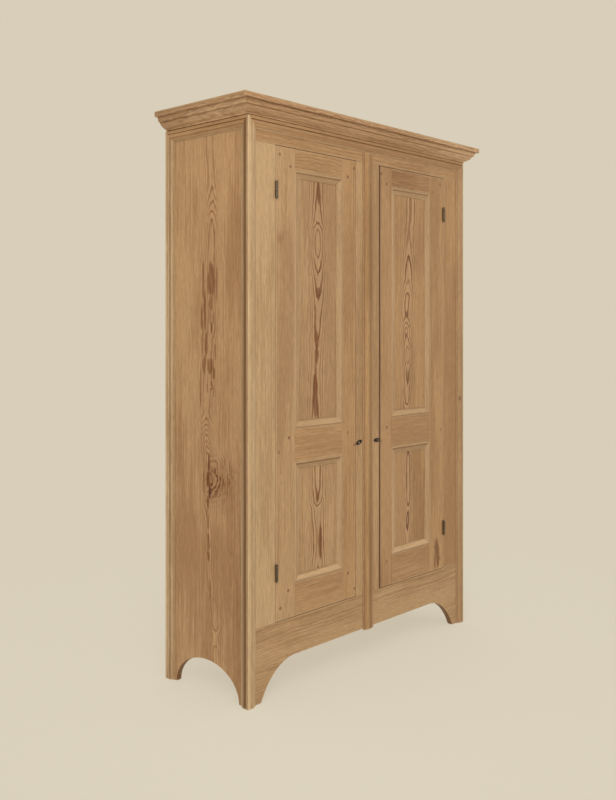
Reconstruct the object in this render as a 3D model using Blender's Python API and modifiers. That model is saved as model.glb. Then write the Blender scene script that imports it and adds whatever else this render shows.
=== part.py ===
"""A pine wardrobe with two framed and panelled doors, in metres, +Z up.

The origin is on the floor, at the middle of the outermost box with the crown moulding's overhang.
+X runs along the front to the right of someone who faces the doors, and -Y is the front.
Places across the front are measured from the middle, on the side LEFT (-1) or RIGHT (+1).
"""

from math import cos, pi, radians, sin

import bmesh
import bpy
from mathutils import Matrix, Vector

# Overall size, over the corner mouldings
WIDTH = 1.311
DEPTH = 0.444
HEIGHT = 2.080

# Boards
SIDE_THICKNESS = 0.022
FRAME_THICKNESS = 0.025
BACK_THICKNESS = 0.015
BACK_REBATE = 0.010
BACK_BOARDS = 3
BACK_BOARD_GAP = 0.001
BACK_BOTTOM = 0.215
TOP_THICKNESS = 0.018
FLOOR_THICKNESS = 0.020
SHELF_THICKNESS = 0.018
CLEAT = 0.025
ARRIS = 0.0009
SEAT_GAP = 0.0003

# Front frame
STILE_WIDTH = 0.132
CENTRE_STILE_WIDTH = 0.145
TOP_RAIL_HEIGHT = 0.126
APRON_TOP = 0.260
APRON_EDGE = 0.127
FRONT_FOOT = 0.061
FRONT_CURVE = 0.164
STOP_LAP = 0.012
STOP_THICKNESS = 0.012
STOP_ABOVE_DOORWAY = 0.040

# Arch in each side board
SIDE_FRONT_FOOT = 0.056
SIDE_REAR_FOOT = 0.054
SIDE_ARCH_HEIGHT = 0.117
ARCH_STEPS = 20

# Planted mouldings on the front and the sides
TRIM_WIDTH = 0.045
TRIM_PROUD = 0.011
TRIM_BEAD = 0.006
TRIM_QUIRK = 0.0145
TRIM_QUIRK_DEPTH = 0.003
TRIM_STEP = 0.0275
CENTRE_MOULDING_WIDTH = 0.064
CENTRE_MOULDING_PROUD = 0.010
CENTRE_MOULDING_BEAD = 0.030
CENTRE_MOULDING_BELOW_APRON = 0.006
MITRE_GAP = 0.0002

# Crown moulding
CROWN_HEIGHT = 0.062
CROWN_OVERHANG = 0.044
CROWN_SIDE_OVERHANG = 0.056
CROWN_SHORT_OF_BACK = 0.010
CROWN_FOOT = 0.0006
CROWN_FOOT_HEIGHT = 0.004
CROWN_OGEE_TOP = 0.0255
CROWN_OGEE_REACH = 0.0225
CROWN_BAND_HEIGHT = 0.0175
CROWN_BAND_STEP = 0.005
CROWN_BAND_REACH = 0.0045
CROWN_FASCIA_ROUND = 0.003
BOARDS_BEHIND_CROWN = 0.042

# Doors
HINGE_GAP = 0.0015
LOCK_GAP = 0.0025
DOOR_END_GAP = 0.002
HINGE_STILE = 0.097
LOCK_STILE = 0.0775
DOOR_TOP_RAIL = 0.076
DOOR_MIDDLE_RAIL = 0.121
DOOR_BOTTOM_RAIL = 0.119
LOWER_OPENING = 0.431
PANEL_THICKNESS = 0.009
PANEL_SINK = 0.008
GROOVE_DEPTH = 0.009
PANEL_PLAY = 0.0005
TENON_LENGTH = 0.060
TENON_SHOULDER = 0.014
PANEL_MOULDING_WIDTH = 0.028
PANEL_MOULDING_BEAD = 0.004
PANEL_MOULDING_EDGE = 0.001
PANEL_MOULDING_SET_BACK = 0.0002

# Butt hinges
HINGE_LENGTH = 0.058
HINGE_FROM_TOP = 0.155
HINGE_FROM_BOTTOM = 0.172
HINGE_STAND_OFF = 0.0055
KNUCKLES = 5
KNUCKLE_RADIUS = 0.005
KNUCKLE_GAP = 0.0004
PIN_RADIUS = 0.002
PIN_CLEARANCE = 0.00015
PIN_TIP_RADIUS = 0.0034
LEAF_WIDTH = 0.020
LEAF_THICKNESS = 0.002
ROUND_STEPS = 16

# Turn buttons on the centre stile
BUTTON_LENGTH = 0.037
BUTTON_WIDTH = 0.016
BUTTON_THICKNESS = 0.003
BUTTON_CLEARANCE = 0.0005
BUTTON_DOOR_CLEARANCE = 0.0015
BUTTON_OFF_CENTRE = 0.003
BUTTON_HEIGHT = 0.850
BUTTON_EDGE = 0.0009
LEFT_BUTTON_TILT = 17
SCREW_HEAD_RADIUS = 0.0042
SCREW_HEAD_HEIGHT = 0.0018
SCREW_SHANK_RADIUS = 0.0019
SCREW_DEPTH = 0.014

# Inside
SHELF_HEIGHT = 1.700
SHELF_SET_BACK = 0.030
PEG_RAIL_HEIGHT = 0.090
PEG_RAIL_THICKNESS = 0.018
PEG_RAIL_BELOW_SHELF = 0.050
PEG_COUNT = 7
PEG_LENGTH = 0.080
PEG_RADIUS = 0.010
PEG_NECK_RADIUS = 0.0065
PEG_ROOT = 0.012
PEG_TILT = 8

# Places worked out from the sizes above
LEFT, RIGHT = -1, 1
SIDE_NAMES = {LEFT: "left", RIGHT: "right"}
HALF_WIDTH = WIDTH / 2
FRONT = (CROWN_OVERHANG - DEPTH) / 2
BACK = FRONT + DEPTH
FACE = FRONT + TRIM_PROUD
FRAME_BACK = FACE + FRAME_THICKNESS
SIDE_FACE = HALF_WIDTH - TRIM_PROUD
SIDE_INNER = SIDE_FACE - SIDE_THICKNESS
BACK_FACE = BACK - BACK_THICKNESS
CROWN_BOTTOM = HEIGHT - CROWN_HEIGHT
CROWN_SIDE_STRETCH = (TRIM_PROUD + CROWN_SIDE_OVERHANG) / (TRIM_PROUD + CROWN_OVERHANG)
CARCASS_TOP = CROWN_BOTTOM + BOARDS_BEHIND_CROWN
TRIM_TOP = CROWN_BOTTOM - SEAT_GAP
DOORWAY_TOP = CARCASS_TOP - TOP_RAIL_HEIGHT
HINGE_SIDE = SIDE_FACE - STILE_WIDTH
LOCK_SIDE = CENTRE_STILE_WIDTH / 2
FLOOR_BOTTOM = APRON_TOP - FLOOR_THICKNESS
DOOR_BOTTOM = APRON_TOP + DOOR_END_GAP
DOOR_TOP = DOORWAY_TOP - DOOR_END_GAP
DOOR_HINGE_EDGE = HINGE_SIDE - HINGE_GAP
DOOR_LOCK_EDGE = LOCK_SIDE + LOCK_GAP
OPENING_OUTER = DOOR_HINGE_EDGE - HINGE_STILE
OPENING_INNER = DOOR_LOCK_EDGE + LOCK_STILE
LOWER_OPENING_BOTTOM = DOOR_BOTTOM + DOOR_BOTTOM_RAIL
LOWER_OPENING_TOP = LOWER_OPENING_BOTTOM + LOWER_OPENING
UPPER_OPENING_BOTTOM = LOWER_OPENING_TOP + DOOR_MIDDLE_RAIL
UPPER_OPENING_TOP = DOOR_TOP - DOOR_TOP_RAIL
GROOVE_FRONT = FACE + PANEL_SINK
GROOVE_BACK = GROOVE_FRONT + PANEL_THICKNESS + 2 * SEAT_GAP
HINGE_AXIS = HINGE_SIDE - HINGE_GAP / 2
HINGE_LINE = FACE - HINGE_STAND_OFF
BUTTON_SHORT_ARM = BUTTON_LENGTH / 2 - BUTTON_OFF_CENTRE
BUTTON_AXIS = DOOR_LOCK_EDGE - BUTTON_DOOR_CLEARANCE - BUTTON_SHORT_ARM

# How an outline drawn in x and y is turned: standing up as a plan, across the front, or front to back
PLAN = Matrix.Identity(4)
ALONG_X = Matrix(((0, 0, 1, 0), (1, 0, 0, 0), (0, 1, 0, 0), (0, 0, 0, 1)))
ALONG_Y = Matrix(((1, 0, 0, 0), (0, 0, -1, 0), (0, 1, 0, 0), (0, 0, 0, 1)))


def clear_scene():
    for old in list(bpy.data.objects):
        bpy.data.objects.remove(old, do_unlink=True)


def new_collection(name):
    collection = bpy.data.collections.new(name)
    bpy.context.scene.collection.children.link(collection)
    return collection


def new_material(name, colour, roughness, metallic=0.0):
    material = bpy.data.materials.new(name)
    material.use_nodes = True
    shader = material.node_tree.nodes["Principled BSDF"]
    shader.inputs["Base Color"].default_value = (*colour, 1.0)
    shader.inputs["Roughness"].default_value = roughness
    shader.inputs["Metallic"].default_value = metallic
    return material


clear_scene()
WARDROBE = new_collection("wardrobe")
CUTTERS = new_collection("cutters")
PINE = new_material("pine_front", (0.50, 0.29, 0.13), 0.55)
PINE_SIDE = new_material("pine_side", (0.40, 0.22, 0.095), 0.6)
PINE_RAIL = new_material("pine_rail", (0.42, 0.23, 0.10), 0.55)
PINE_PANEL = new_material("pine_panel", (0.45, 0.24, 0.10), 0.5)
PINE_MOULDING = new_material("pine_moulding", (0.54, 0.34, 0.16), 0.5)
PINE_INSIDE = new_material("pine_inside", (0.48, 0.31, 0.16), 0.75)
IRON = new_material("iron", (0.045, 0.038, 0.033), 0.5, 0.85)


def add(name, mesh, material, location=(0, 0, 0), parent=None):
    """Puts a mesh into the wardrobe, at a place in the room, as a child of the parent's axis."""
    piece = bpy.data.objects.new(name, mesh)
    mesh.materials.clear()
    mesh.materials.append(material)
    WARDROBE.objects.link(piece)
    piece.location = location
    if parent:
        piece.parent = parent
        piece.location = Vector(location) - parent.location
    return piece


def place_of(piece):
    """Where an unturned piece's origin is in the room."""
    return piece.location + (piece.parent.location if piece.parent else Vector())


def helper(name, mesh, location):
    """A solid that only cuts or joins others."""
    tool = bpy.data.objects.new(name, mesh)
    CUTTERS.objects.link(tool)
    tool.location = location
    tool.hide_render = True
    tool.display_type = "WIRE"
    return tool


def finished(shape, name):
    """The mesh of a bmesh, with its faces turned outwards."""
    bmesh.ops.recalc_face_normals(shape, faces=shape.faces)
    mesh = bpy.data.meshes.new(name)
    shape.to_mesh(mesh)
    shape.free()
    return mesh


def box(name, size):
    shape = bmesh.new()
    bmesh.ops.create_cube(shape, size=1.0)
    bmesh.ops.scale(shape, vec=size, verts=shape.verts)
    return finished(shape, name)


def cylinder(name, radius, length):
    shape = bmesh.new()
    bmesh.ops.create_cone(
        shape, cap_ends=True, segments=ROUND_STEPS, radius1=radius, radius2=radius, depth=length
    )
    return finished(shape, name)


def ease(piece, width=ARRIS):
    """Takes the sharpness off a board's edges."""
    bevel = piece.modifiers.new("eased edges", "BEVEL")
    bevel.width = width
    bevel.segments = 1
    bevel.limit_method = "ANGLE"
    bevel.angle_limit = radians(50)


def board(name, low, high, material, parent=None):
    low, high = Vector(low), Vector(high)
    piece = add(name, box(name, high - low), material, (low + high) / 2, parent)
    ease(piece)
    return piece


def boolean(piece, tool, operation):
    step = piece.modifiers.new(tool.name, "BOOLEAN")
    step.operation = operation
    step.solver = "EXACT"
    step.object = tool


def cut_box(piece, name, low, high):
    low, high = Vector(low), Vector(high)
    boolean(piece, helper(name, box(name, high - low), (low + high) / 2), "DIFFERENCE")


def extruded(name, outline, start, end, turn, material, parent=None):
    """A flat outline as a filled 2D curve, made a mesh, running from start to end square to it."""
    curve = bpy.data.curves.new(name, "CURVE")
    curve.dimensions = "2D"
    curve.fill_mode = "BOTH"
    curve.extrude = (end - start) / 2
    spline = curve.splines.new("POLY")
    spline.points.add(len(outline) - 1)
    for point, (x, y) in zip(spline.points, outline):
        point.co = (x, y, 0, 1)
    spline.use_cyclic_u = True
    drawn = bpy.data.objects.new(name, curve)
    CUTTERS.objects.link(drawn)
    mesh = bpy.data.meshes.new_from_object(drawn.evaluated_get(bpy.context.evaluated_depsgraph_get()))
    bpy.data.objects.remove(drawn)
    shape = bmesh.new()
    shape.from_mesh(mesh)
    bmesh.ops.remove_doubles(shape, verts=shape.verts, dist=0.00001)
    bmesh.ops.dissolve_limit(shape, angle_limit=0.001, verts=shape.verts, edges=shape.edges)
    bmesh.ops.transform(shape, matrix=turn, verts=shape.verts)
    middle = (start + end) / 2
    location = turn @ Vector((0, 0, -middle if turn == ALONG_Y else middle))
    return add(name, finished(shape, name), material, location, parent)


def mitre(piece, point, normal):
    """Cuts off what lies beyond a plane, the way its normal points, and closes the cut."""
    shape = bmesh.new()
    shape.from_mesh(piece.data)
    bmesh.ops.bisect_plane(
        shape,
        geom=shape.verts[:] + shape.edges[:] + shape.faces[:],
        plane_co=Vector(point) - place_of(piece),
        plane_no=Vector(normal),
        clear_outer=True,
    )
    bmesh.ops.holes_fill(shape, edges=[edge for edge in shape.edges if edge.is_boundary])
    bmesh.ops.recalc_face_normals(shape, faces=shape.faces)
    shape.to_mesh(piece.data)
    shape.free()


def turned(name, profile):
    """A profile of (radius, height) points, from top to bottom, turned about Z."""
    mesh = bpy.data.meshes.new(name)
    points = [(radius, 0, height) for radius, height in profile]
    mesh.from_pydata(points, [(i, i + 1) for i in range(len(points) - 1)], [])
    return mesh


def add_screw(piece):
    screw = piece.modifiers.new("turned", "SCREW")
    screw.steps = screw.render_steps = ROUND_STEPS
    screw.use_merge_vertices = True
    screw.merge_threshold = 0.00001
    screw.use_smooth_shade = True


def arc(centre, radius, start, end, steps):
    """Points on a circle from one angle to another, in degrees, both ends included."""
    angles = [radians(start + (end - start) * i / steps) for i in range(steps + 1)]
    return [(centre[0] + radius * cos(a), centre[1] + radius * sin(a)) for a in angles]


def bezier(a, b, c, d, steps):
    """A cubic curve from a to d that leaves towards b and arrives from c."""
    points = []
    for i in range(steps + 1):
        t = i / steps
        weights = ((1 - t) ** 3, 3 * t * (1 - t) ** 2, 3 * t * t * (1 - t), t**3)
        points.append(tuple(sum(w * p[k] for w, p in zip(weights, (a, b, c, d))) for k in (0, 1)))
    return points


def across(side, inner, outer):
    """The low and high X of what runs between two distances from the middle, on one side."""
    return sorted((side * inner, side * outer))


def axis_empty(name, location):
    empty = bpy.data.objects.new(name, None)
    empty.empty_display_size = 0.05
    WARDROBE.objects.link(empty)
    empty.location = location
    return empty


def trim_profile():
    """(distance from the outer edge, height off the board): bead, quirk, flat, step, ogee and fillet."""
    top, ogee_end = TRIM_PROUD, TRIM_WIDTH - 0.002
    return (
        [(0, SEAT_GAP)]
        + arc((TRIM_BEAD, top - TRIM_BEAD), TRIM_BEAD, 180, 90, 4)
        + [(TRIM_QUIRK - 0.0013, top), (TRIM_QUIRK, top - TRIM_QUIRK_DEPTH), (TRIM_QUIRK + 0.0013, top)]
        + [(TRIM_STEP, top)]
        + bezier(
            (TRIM_STEP + 0.0005, top - 0.0015),
            (TRIM_STEP + 0.006, top - 0.0018),
            (ogee_end - 0.0045, 0.0026),
            (ogee_end, 0.0022),
            6,
        )
        + [(TRIM_WIDTH, 0.0015), (TRIM_WIDTH, SEAT_GAP)]
    )


def corner_moulding(side):
    """One piece that wraps the carcass corner: the trim's profile on the front and on the side."""
    leg = [(s, TRIM_PROUD - rise) for s, rise in trim_profile() if s >= TRIM_BEAD]
    seat = TRIM_PROUD - SEAT_GAP
    corner = arc((TRIM_BEAD, TRIM_BEAD), TRIM_BEAD, 180, 270, 4)[1:-1]
    outline = [(b, a) for a, b in reversed(leg)] + corner + leg + [(seat, seat)]
    placed = [(side * (HALF_WIDTH - a), FRONT + b) for a, b in outline]
    name = f"corner_moulding_{SIDE_NAMES[side]}"
    piece = extruded(name, placed, 0, TRIM_TOP, PLAN, PINE_MOULDING)
    corner_top = (side * HALF_WIDTH, FRONT, TRIM_TOP - MITRE_GAP)
    mitre(piece, corner_top, (-side, 0, 1))
    mitre(piece, corner_top, (0, 1, 1))


def rear_moulding(side):
    outline = [(side * (SIDE_FACE + rise), BACK - s) for s, rise in trim_profile()]
    name = f"rear_moulding_{SIDE_NAMES[side]}"
    piece = extruded(name, outline, 0, TRIM_TOP, PLAN, PINE_MOULDING)
    mitre(piece, (side * SIDE_FACE, BACK, TRIM_TOP - MITRE_GAP), (0, -1, 1))


def top_moulding_front():
    outline = [(FACE - rise, TRIM_TOP - s) for s, rise in trim_profile()]
    piece = extruded("top_moulding_front", outline, -HALF_WIDTH, HALF_WIDTH, ALONG_X, PINE_MOULDING)
    for side in (LEFT, RIGHT):
        end = (side * (HALF_WIDTH - MITRE_GAP), FRONT, TRIM_TOP)
        mitre(piece, end, (side, 0, -1))
        mitre(piece, end, (side, 1, 0))


def top_moulding_side(side):
    outline = [(side * (SIDE_FACE + rise), TRIM_TOP - s) for s, rise in trim_profile()]
    name = f"top_moulding_{SIDE_NAMES[side]}"
    piece = extruded(name, outline, FRONT, BACK, ALONG_Y, PINE_MOULDING)
    front_end = (side * HALF_WIDTH, FRONT + MITRE_GAP, TRIM_TOP)
    mitre(piece, front_end, (0, -1, -1))
    mitre(piece, front_end, (-side, -1, 0))
    mitre(piece, (side * HALF_WIDTH, BACK - MITRE_GAP, TRIM_TOP), (0, 1, -1))


def crown_profile():
    """(distance out from the front boards, height): foot, ogee, band and fascia, bottom to top."""
    foot = TRIM_PROUD + CROWN_FOOT
    ogee_end = foot + CROWN_OGEE_REACH
    band_foot = ogee_end + CROWN_BAND_STEP
    band_edge = band_foot + CROWN_BAND_REACH
    band_top = CROWN_OGEE_TOP + CROWN_BAND_HEIGHT
    rise = CROWN_OGEE_TOP - 0.0015 - CROWN_FOOT_HEIGHT
    outer = TRIM_PROUD + CROWN_OVERHANG
    return (
        [(SEAT_GAP, 0), (foot, 0)]
        + bezier(
            (foot, CROWN_FOOT_HEIGHT),
            (foot + 0.40 * CROWN_OGEE_REACH, CROWN_FOOT_HEIGHT + 0.12 * rise),
            (foot + 0.90 * CROWN_OGEE_REACH, CROWN_FOOT_HEIGHT + 0.55 * rise),
            (ogee_end, CROWN_FOOT_HEIGHT + rise),
            7,
        )
        + [(ogee_end, CROWN_OGEE_TOP), (band_foot, CROWN_OGEE_TOP + 0.0015)]
        + [(band_foot + 0.75 * CROWN_BAND_REACH, band_top - 0.006), (band_edge, band_top - 0.002)]
        + [(band_edge, band_top)]
        + arc((outer - CROWN_FASCIA_ROUND, band_top + CROWN_FASCIA_ROUND), CROWN_FASCIA_ROUND, -90, 0, 4)
        + [(outer, CROWN_HEIGHT - ARRIS), (outer - ARRIS, CROWN_HEIGHT), (SEAT_GAP, CROWN_HEIGHT)]
    )


def crown_front():
    outline = [(FACE - out, CROWN_BOTTOM + up) for out, up in crown_profile()]
    reach = HALF_WIDTH + CROWN_SIDE_OVERHANG
    piece = extruded("crown_front", outline, -reach, reach, ALONG_X, PINE_RAIL)
    for side in (LEFT, RIGHT):
        mitre(piece, (side * (SIDE_FACE - MITRE_GAP), FACE, CROWN_BOTTOM), (side, CROWN_SIDE_STRETCH, 0))


def crown_side(side):
    """The front's profile, drawn out further, so that it reaches the wider overhang of the sides."""
    stretched = [(CROWN_SIDE_STRETCH * out, up) for out, up in crown_profile()]
    outline = [(side * (SIDE_FACE + out), CROWN_BOTTOM + up) for out, up in stretched]
    name = f"crown_{SIDE_NAMES[side]}"
    rear = BACK - CROWN_SHORT_OF_BACK
    piece = extruded(name, outline, FRONT - CROWN_OVERHANG, rear, ALONG_Y, PINE_RAIL)
    mitre(piece, (side * SIDE_FACE, FACE + MITRE_GAP, CROWN_BOTTOM), (-side, -CROWN_SIDE_STRETCH, 0))


def side_arch():
    """The foot line of a side board, from front to back: an arch between two feet."""
    front, rear = FRONT + SIDE_FRONT_FOOT, BACK - SIDE_REAR_FOOT
    centre, half = (front + rear) / 2, (rear - front) / 2
    curve = arc((0, 0), 1, 180, 0, ARCH_STEPS)[1:-1]
    return [(front, 0)] + [(centre + half * a, SIDE_ARCH_HEIGHT * b) for a, b in curve] + [(rear, 0)]


def side_board(side):
    front = FRAME_BACK + SEAT_GAP
    outline = [(front, CARCASS_TOP), (front, 0)] + side_arch() + [(BACK, 0), (BACK, CARCASS_TOP)]
    low, high = across(side, SIDE_INNER, SIDE_FACE)
    name = f"side_board_{SIDE_NAMES[side]}"
    piece = extruded(name, outline, low, high, ALONG_X, PINE_SIDE)
    rebate_low, rebate_high = across(side, SIDE_INNER - 0.01, SIDE_INNER + BACK_REBATE)
    cut_box(
        piece,
        f"rebate_{SIDE_NAMES[side]}",
        (rebate_low, BACK_FACE - SEAT_GAP, BACK_BOTTOM - SEAT_GAP),
        (rebate_high, BACK + 0.01, CARCASS_TOP + 0.01),
    )


def apron():
    """The bottom rail: level along the middle, and curving down at each end into a front foot."""
    foot = SIDE_FACE - FRONT_FOOT
    level = foot - FRONT_CURVE
    curve = bezier(
        (level, APRON_EDGE),
        (level + 0.52 * FRONT_CURVE, 0.97 * APRON_EDGE),
        (foot - 0.14 * FRONT_CURVE, 0.40 * APRON_EDGE),
        (foot, 0),
        10,
    )
    right = curve + [(SIDE_FACE, 0), (SIDE_FACE, APRON_TOP)]
    outline = right + [(-x, z) for x, z in reversed(right)]
    piece = extruded("apron", outline, FACE, FRAME_BACK, ALONG_Y, PINE_RAIL)
    ease(piece)


def front_frame():
    for side in (LEFT, RIGHT):
        low, high = across(side, HINGE_SIDE, SIDE_FACE)
        stile = board(
            f"front_stile_{SIDE_NAMES[side]}",
            (low, FACE, APRON_TOP + SEAT_GAP),
            (high, FRAME_BACK, DOORWAY_TOP - SEAT_GAP),
            PINE,
        )
        for place in ("upper", "lower"):
            hinge_pocket(stile, side, place, HINGE_SIDE - 0.01, HINGE_AXIS + leaf_outer())
    centre = board(
        "centre_stile",
        (-LOCK_SIDE, FACE, APRON_TOP + SEAT_GAP),
        (LOCK_SIDE, FRAME_BACK, DOORWAY_TOP - SEAT_GAP),
        PINE,
    )
    for side in (LEFT, RIGHT):
        hole = cylinder("screw_hole", SCREW_SHANK_RADIUS + SEAT_GAP, 2 * (SCREW_DEPTH + SEAT_GAP))
        tool = helper(f"screw_hole_{SIDE_NAMES[side]}", hole, (side * BUTTON_AXIS, FACE, BUTTON_HEIGHT))
        tool.rotation_euler.x = pi / 2
        boolean(centre, tool, "DIFFERENCE")
    board("top_rail", (-SIDE_FACE, FACE, DOORWAY_TOP), (SIDE_FACE, FRAME_BACK, CARCASS_TOP), PINE_RAIL)
    board(
        "centre_stop",
        (-LOCK_SIDE - STOP_LAP, FRAME_BACK + SEAT_GAP, APRON_TOP + SEAT_GAP),
        (LOCK_SIDE + STOP_LAP, FRAME_BACK + SEAT_GAP + STOP_THICKNESS, DOORWAY_TOP + STOP_ABOVE_DOORWAY),
        PINE_INSIDE,
    )


def centre_moulding():
    """A strip down the centre stile: a broad rounded bead between two coves, with thin edges."""
    half, bead, proud = CENTRE_MOULDING_WIDTH / 2, CENTRE_MOULDING_BEAD / 2, CENTRE_MOULDING_PROUD
    bead_edge = 0.8 * proud
    right = (
        bezier((0, proud), (0.4 * bead, proud), (0.8 * bead, 0.96 * proud), (bead - 0.0005, bead_edge), 4)
        + bezier(
            (bead + 0.002, bead_edge - 0.0002),
            (bead + 0.007, 0.64 * proud),
            (half - 0.007, 0.32 * proud),
            (half - 0.002, 0.0022),
            5,
        )
        + [(half, 0.0018), (half, SEAT_GAP)]
    )
    outline = right + [(-x, rise) for x, rise in reversed(right[1:])]
    placed = [(x, FACE - rise) for x, rise in outline]
    bottom = APRON_EDGE - CENTRE_MOULDING_BELOW_APRON
    top = TRIM_TOP - TRIM_WIDTH - SEAT_GAP
    extruded("centre_moulding", placed, bottom, top, PLAN, PINE_MOULDING)


def carcass():
    for side in (LEFT, RIGHT):
        side_board(side)
        cleat(f"floor_cleat_{SIDE_NAMES[side]}", side, FLOOR_BOTTOM)
        cleat(f"shelf_cleat_{SIDE_NAMES[side]}", side, SHELF_HEIGHT)
    inner = SIDE_INNER - SEAT_GAP
    back = BACK_FACE - SEAT_GAP
    board("floor_board", (-inner, FRAME_BACK + SEAT_GAP, FLOOR_BOTTOM), (inner, back, APRON_TOP), PINE_INSIDE)
    board(
        "shelf",
        (-inner, FRAME_BACK + SHELF_SET_BACK, SHELF_HEIGHT),
        (inner, back, SHELF_HEIGHT + SHELF_THICKNESS),
        PINE_INSIDE,
    )
    board(
        "top_board",
        (-SIDE_FACE, FACE, CARCASS_TOP + SEAT_GAP),
        (SIDE_FACE, BACK, CARCASS_TOP + SEAT_GAP + TOP_THICKNESS),
        PINE_INSIDE,
    )
    back_boards()
    peg_rail(back)


def cleat(name, side, top):
    low, high = across(side, SIDE_INNER - SEAT_GAP - CLEAT, SIDE_INNER - SEAT_GAP)
    front = FRAME_BACK + SHELF_SET_BACK
    board(name, (low, front, top - SEAT_GAP - CLEAT), (high, BACK_FACE - SEAT_GAP, top - SEAT_GAP), PINE_INSIDE)


def back_boards():
    reach = SIDE_INNER + BACK_REBATE - SEAT_GAP
    pitch = (2 * reach + BACK_BOARD_GAP) / BACK_BOARDS
    for i in range(BACK_BOARDS):
        start = -reach + i * pitch
        board(
            f"back_board_{i + 1}",
            (start, BACK_FACE, BACK_BOTTOM),
            (start + pitch - BACK_BOARD_GAP, BACK, CARCASS_TOP),
            PINE_INSIDE,
        )


def peg_rail(back):
    """A rail across the back, with turned coat pegs driven into it at a slight upward tilt."""
    top = SHELF_HEIGHT - PEG_RAIL_BELOW_SHELF
    face = back - PEG_RAIL_THICKNESS
    inner = SIDE_INNER - SEAT_GAP
    rail = board("peg_rail", (-inner, face, top - PEG_RAIL_HEIGHT), (inner, back, top), PINE_INSIDE)
    profile = (
        [(0, PEG_LENGTH)]
        + arc((0, PEG_LENGTH - PEG_RADIUS), PEG_RADIUS, 60, -30, 4)
        + [(PEG_NECK_RADIUS, PEG_LENGTH - 0.024), (PEG_RADIUS, 0.004), (PEG_RADIUS, -PEG_ROOT), (0, -PEG_ROOT)]
    )
    pitch = 2 * inner / PEG_COUNT
    for i in range(PEG_COUNT):
        middle = top - PEG_RAIL_HEIGHT / 2
        peg = helper(f"peg_{i + 1}", turned("peg", profile), ((i + 0.5) * pitch - inner, face, middle))
        peg.rotation_euler.x = radians(90 - PEG_TILT)
        add_screw(peg)
        boolean(rail, peg, "UNION")


def door_stile(door, side, name, low, high, mortised_edge):
    """A door stile, grooved for the panels and mortised for the three rails on its inner edge."""
    x_low, x_high = across(side, low, high)
    piece = board(name, (x_low, FACE, DOOR_BOTTOM), (x_high, FRAME_BACK, DOOR_TOP), PINE, door)
    inward = -1 if mortised_edge == low else 1
    groove_low, groove_high = across(side, mortised_edge + 0.01 * inward, mortised_edge - GROOVE_DEPTH * inward)
    cut_box(
        piece,
        f"{name}_groove",
        (groove_low, GROOVE_FRONT, DOOR_BOTTOM + TENON_SHOULDER),
        (groove_high, GROOVE_BACK, DOOR_TOP - TENON_SHOULDER),
    )
    depth = TENON_LENGTH + 2 * SEAT_GAP
    deep_low, deep_high = across(side, mortised_edge + 0.01 * inward, mortised_edge - depth * inward)
    for rail, (bottom, top) in tenon_heights().items():
        cut_box(
            piece,
            f"{name}_{rail}_mortise",
            (deep_low, GROOVE_FRONT, bottom - SEAT_GAP),
            (deep_high, GROOVE_BACK, top + SEAT_GAP),
        )
    return piece


def tenon_heights():
    """The low and high Z of each rail's tenon, inside the grooves and the shoulders."""
    return {
        "bottom": (DOOR_BOTTOM + TENON_SHOULDER + SEAT_GAP, LOWER_OPENING_BOTTOM - GROOVE_DEPTH),
        "middle": (LOWER_OPENING_TOP + GROOVE_DEPTH, UPPER_OPENING_BOTTOM - GROOVE_DEPTH),
        "top": (UPPER_OPENING_TOP + GROOVE_DEPTH, DOOR_TOP - TENON_SHOULDER - SEAT_GAP),
    }


def door_rail(door, side, name, rail, bottom, top, grooves):
    """A rail between the stiles, with a tenon at each end and a groove along each panel's edge."""
    low, high = across(side, OPENING_INNER + SEAT_GAP, OPENING_OUTER - SEAT_GAP)
    piece = board(name, (low, FACE, bottom), (high, FRAME_BACK, top), PINE_RAIL, door)
    tenon_low, tenon_high = tenon_heights()[rail]
    tenon = Vector((high - low + 2 * TENON_LENGTH, PANEL_THICKNESS, tenon_high - tenon_low))
    middle = ((low + high) / 2, (GROOVE_FRONT + GROOVE_BACK) / 2, (tenon_low + tenon_high) / 2)
    boolean(piece, helper(f"{name}_tenons", box("tenons", tenon), middle), "UNION")
    for i, (groove_low, groove_high) in enumerate(grooves):
        cut_box(
            piece,
            f"{name}_groove_{i}",
            (low - TENON_LENGTH - 0.01, GROOVE_FRONT, groove_low),
            (high + TENON_LENGTH + 0.01, GROOVE_BACK, groove_high),
        )


def panel_moulding(door, side, name, bottom, top):
    """A moulding planted round the panel: a bead at the frame, then an ogee down to a thin edge."""
    bead, edge = PANEL_MOULDING_BEAD, PANEL_MOULDING_EDGE
    rise = PANEL_SINK - PANEL_MOULDING_SET_BACK
    slope_end = PANEL_MOULDING_WIDTH - 0.004
    slope = bezier(
        (bead + 0.0005, rise - 0.0005),
        (bead + 0.008, rise - 0.0016),
        (slope_end - 0.008, edge + 0.0025),
        (slope_end, edge + 0.0012),
        6,
    )
    profile = (
        [(SEAT_GAP, 0), (SEAT_GAP, rise - 0.0008), (0.0015, rise), (bead, rise)]
        + slope
        + [(slope_end + 0.0008, edge + 0.0001), (PANEL_MOULDING_WIDTH, edge), (PANEL_MOULDING_WIDTH, 0)]
    )
    width, height = OPENING_OUTER - OPENING_INNER, top - bottom
    shape = bmesh.new()
    loops = [
        [shape.verts.new((x * (width / 2 - inset), -up, z * (height / 2 - inset))) for inset, up in profile]
        for x, z in ((-1, -1), (1, -1), (1, 1), (-1, 1))
    ]
    for here, there in zip(loops, loops[1:] + loops[:1]):
        for i, j in zip(range(len(profile)), [*range(1, len(profile)), 0]):
            shape.faces.new((here[i], here[j], there[j], there[i]))
    centre = (side * (OPENING_OUTER + OPENING_INNER) / 2, GROOVE_FRONT, (bottom + top) / 2)
    add(name, finished(shape, name), PINE_MOULDING, centre, door)


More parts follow.
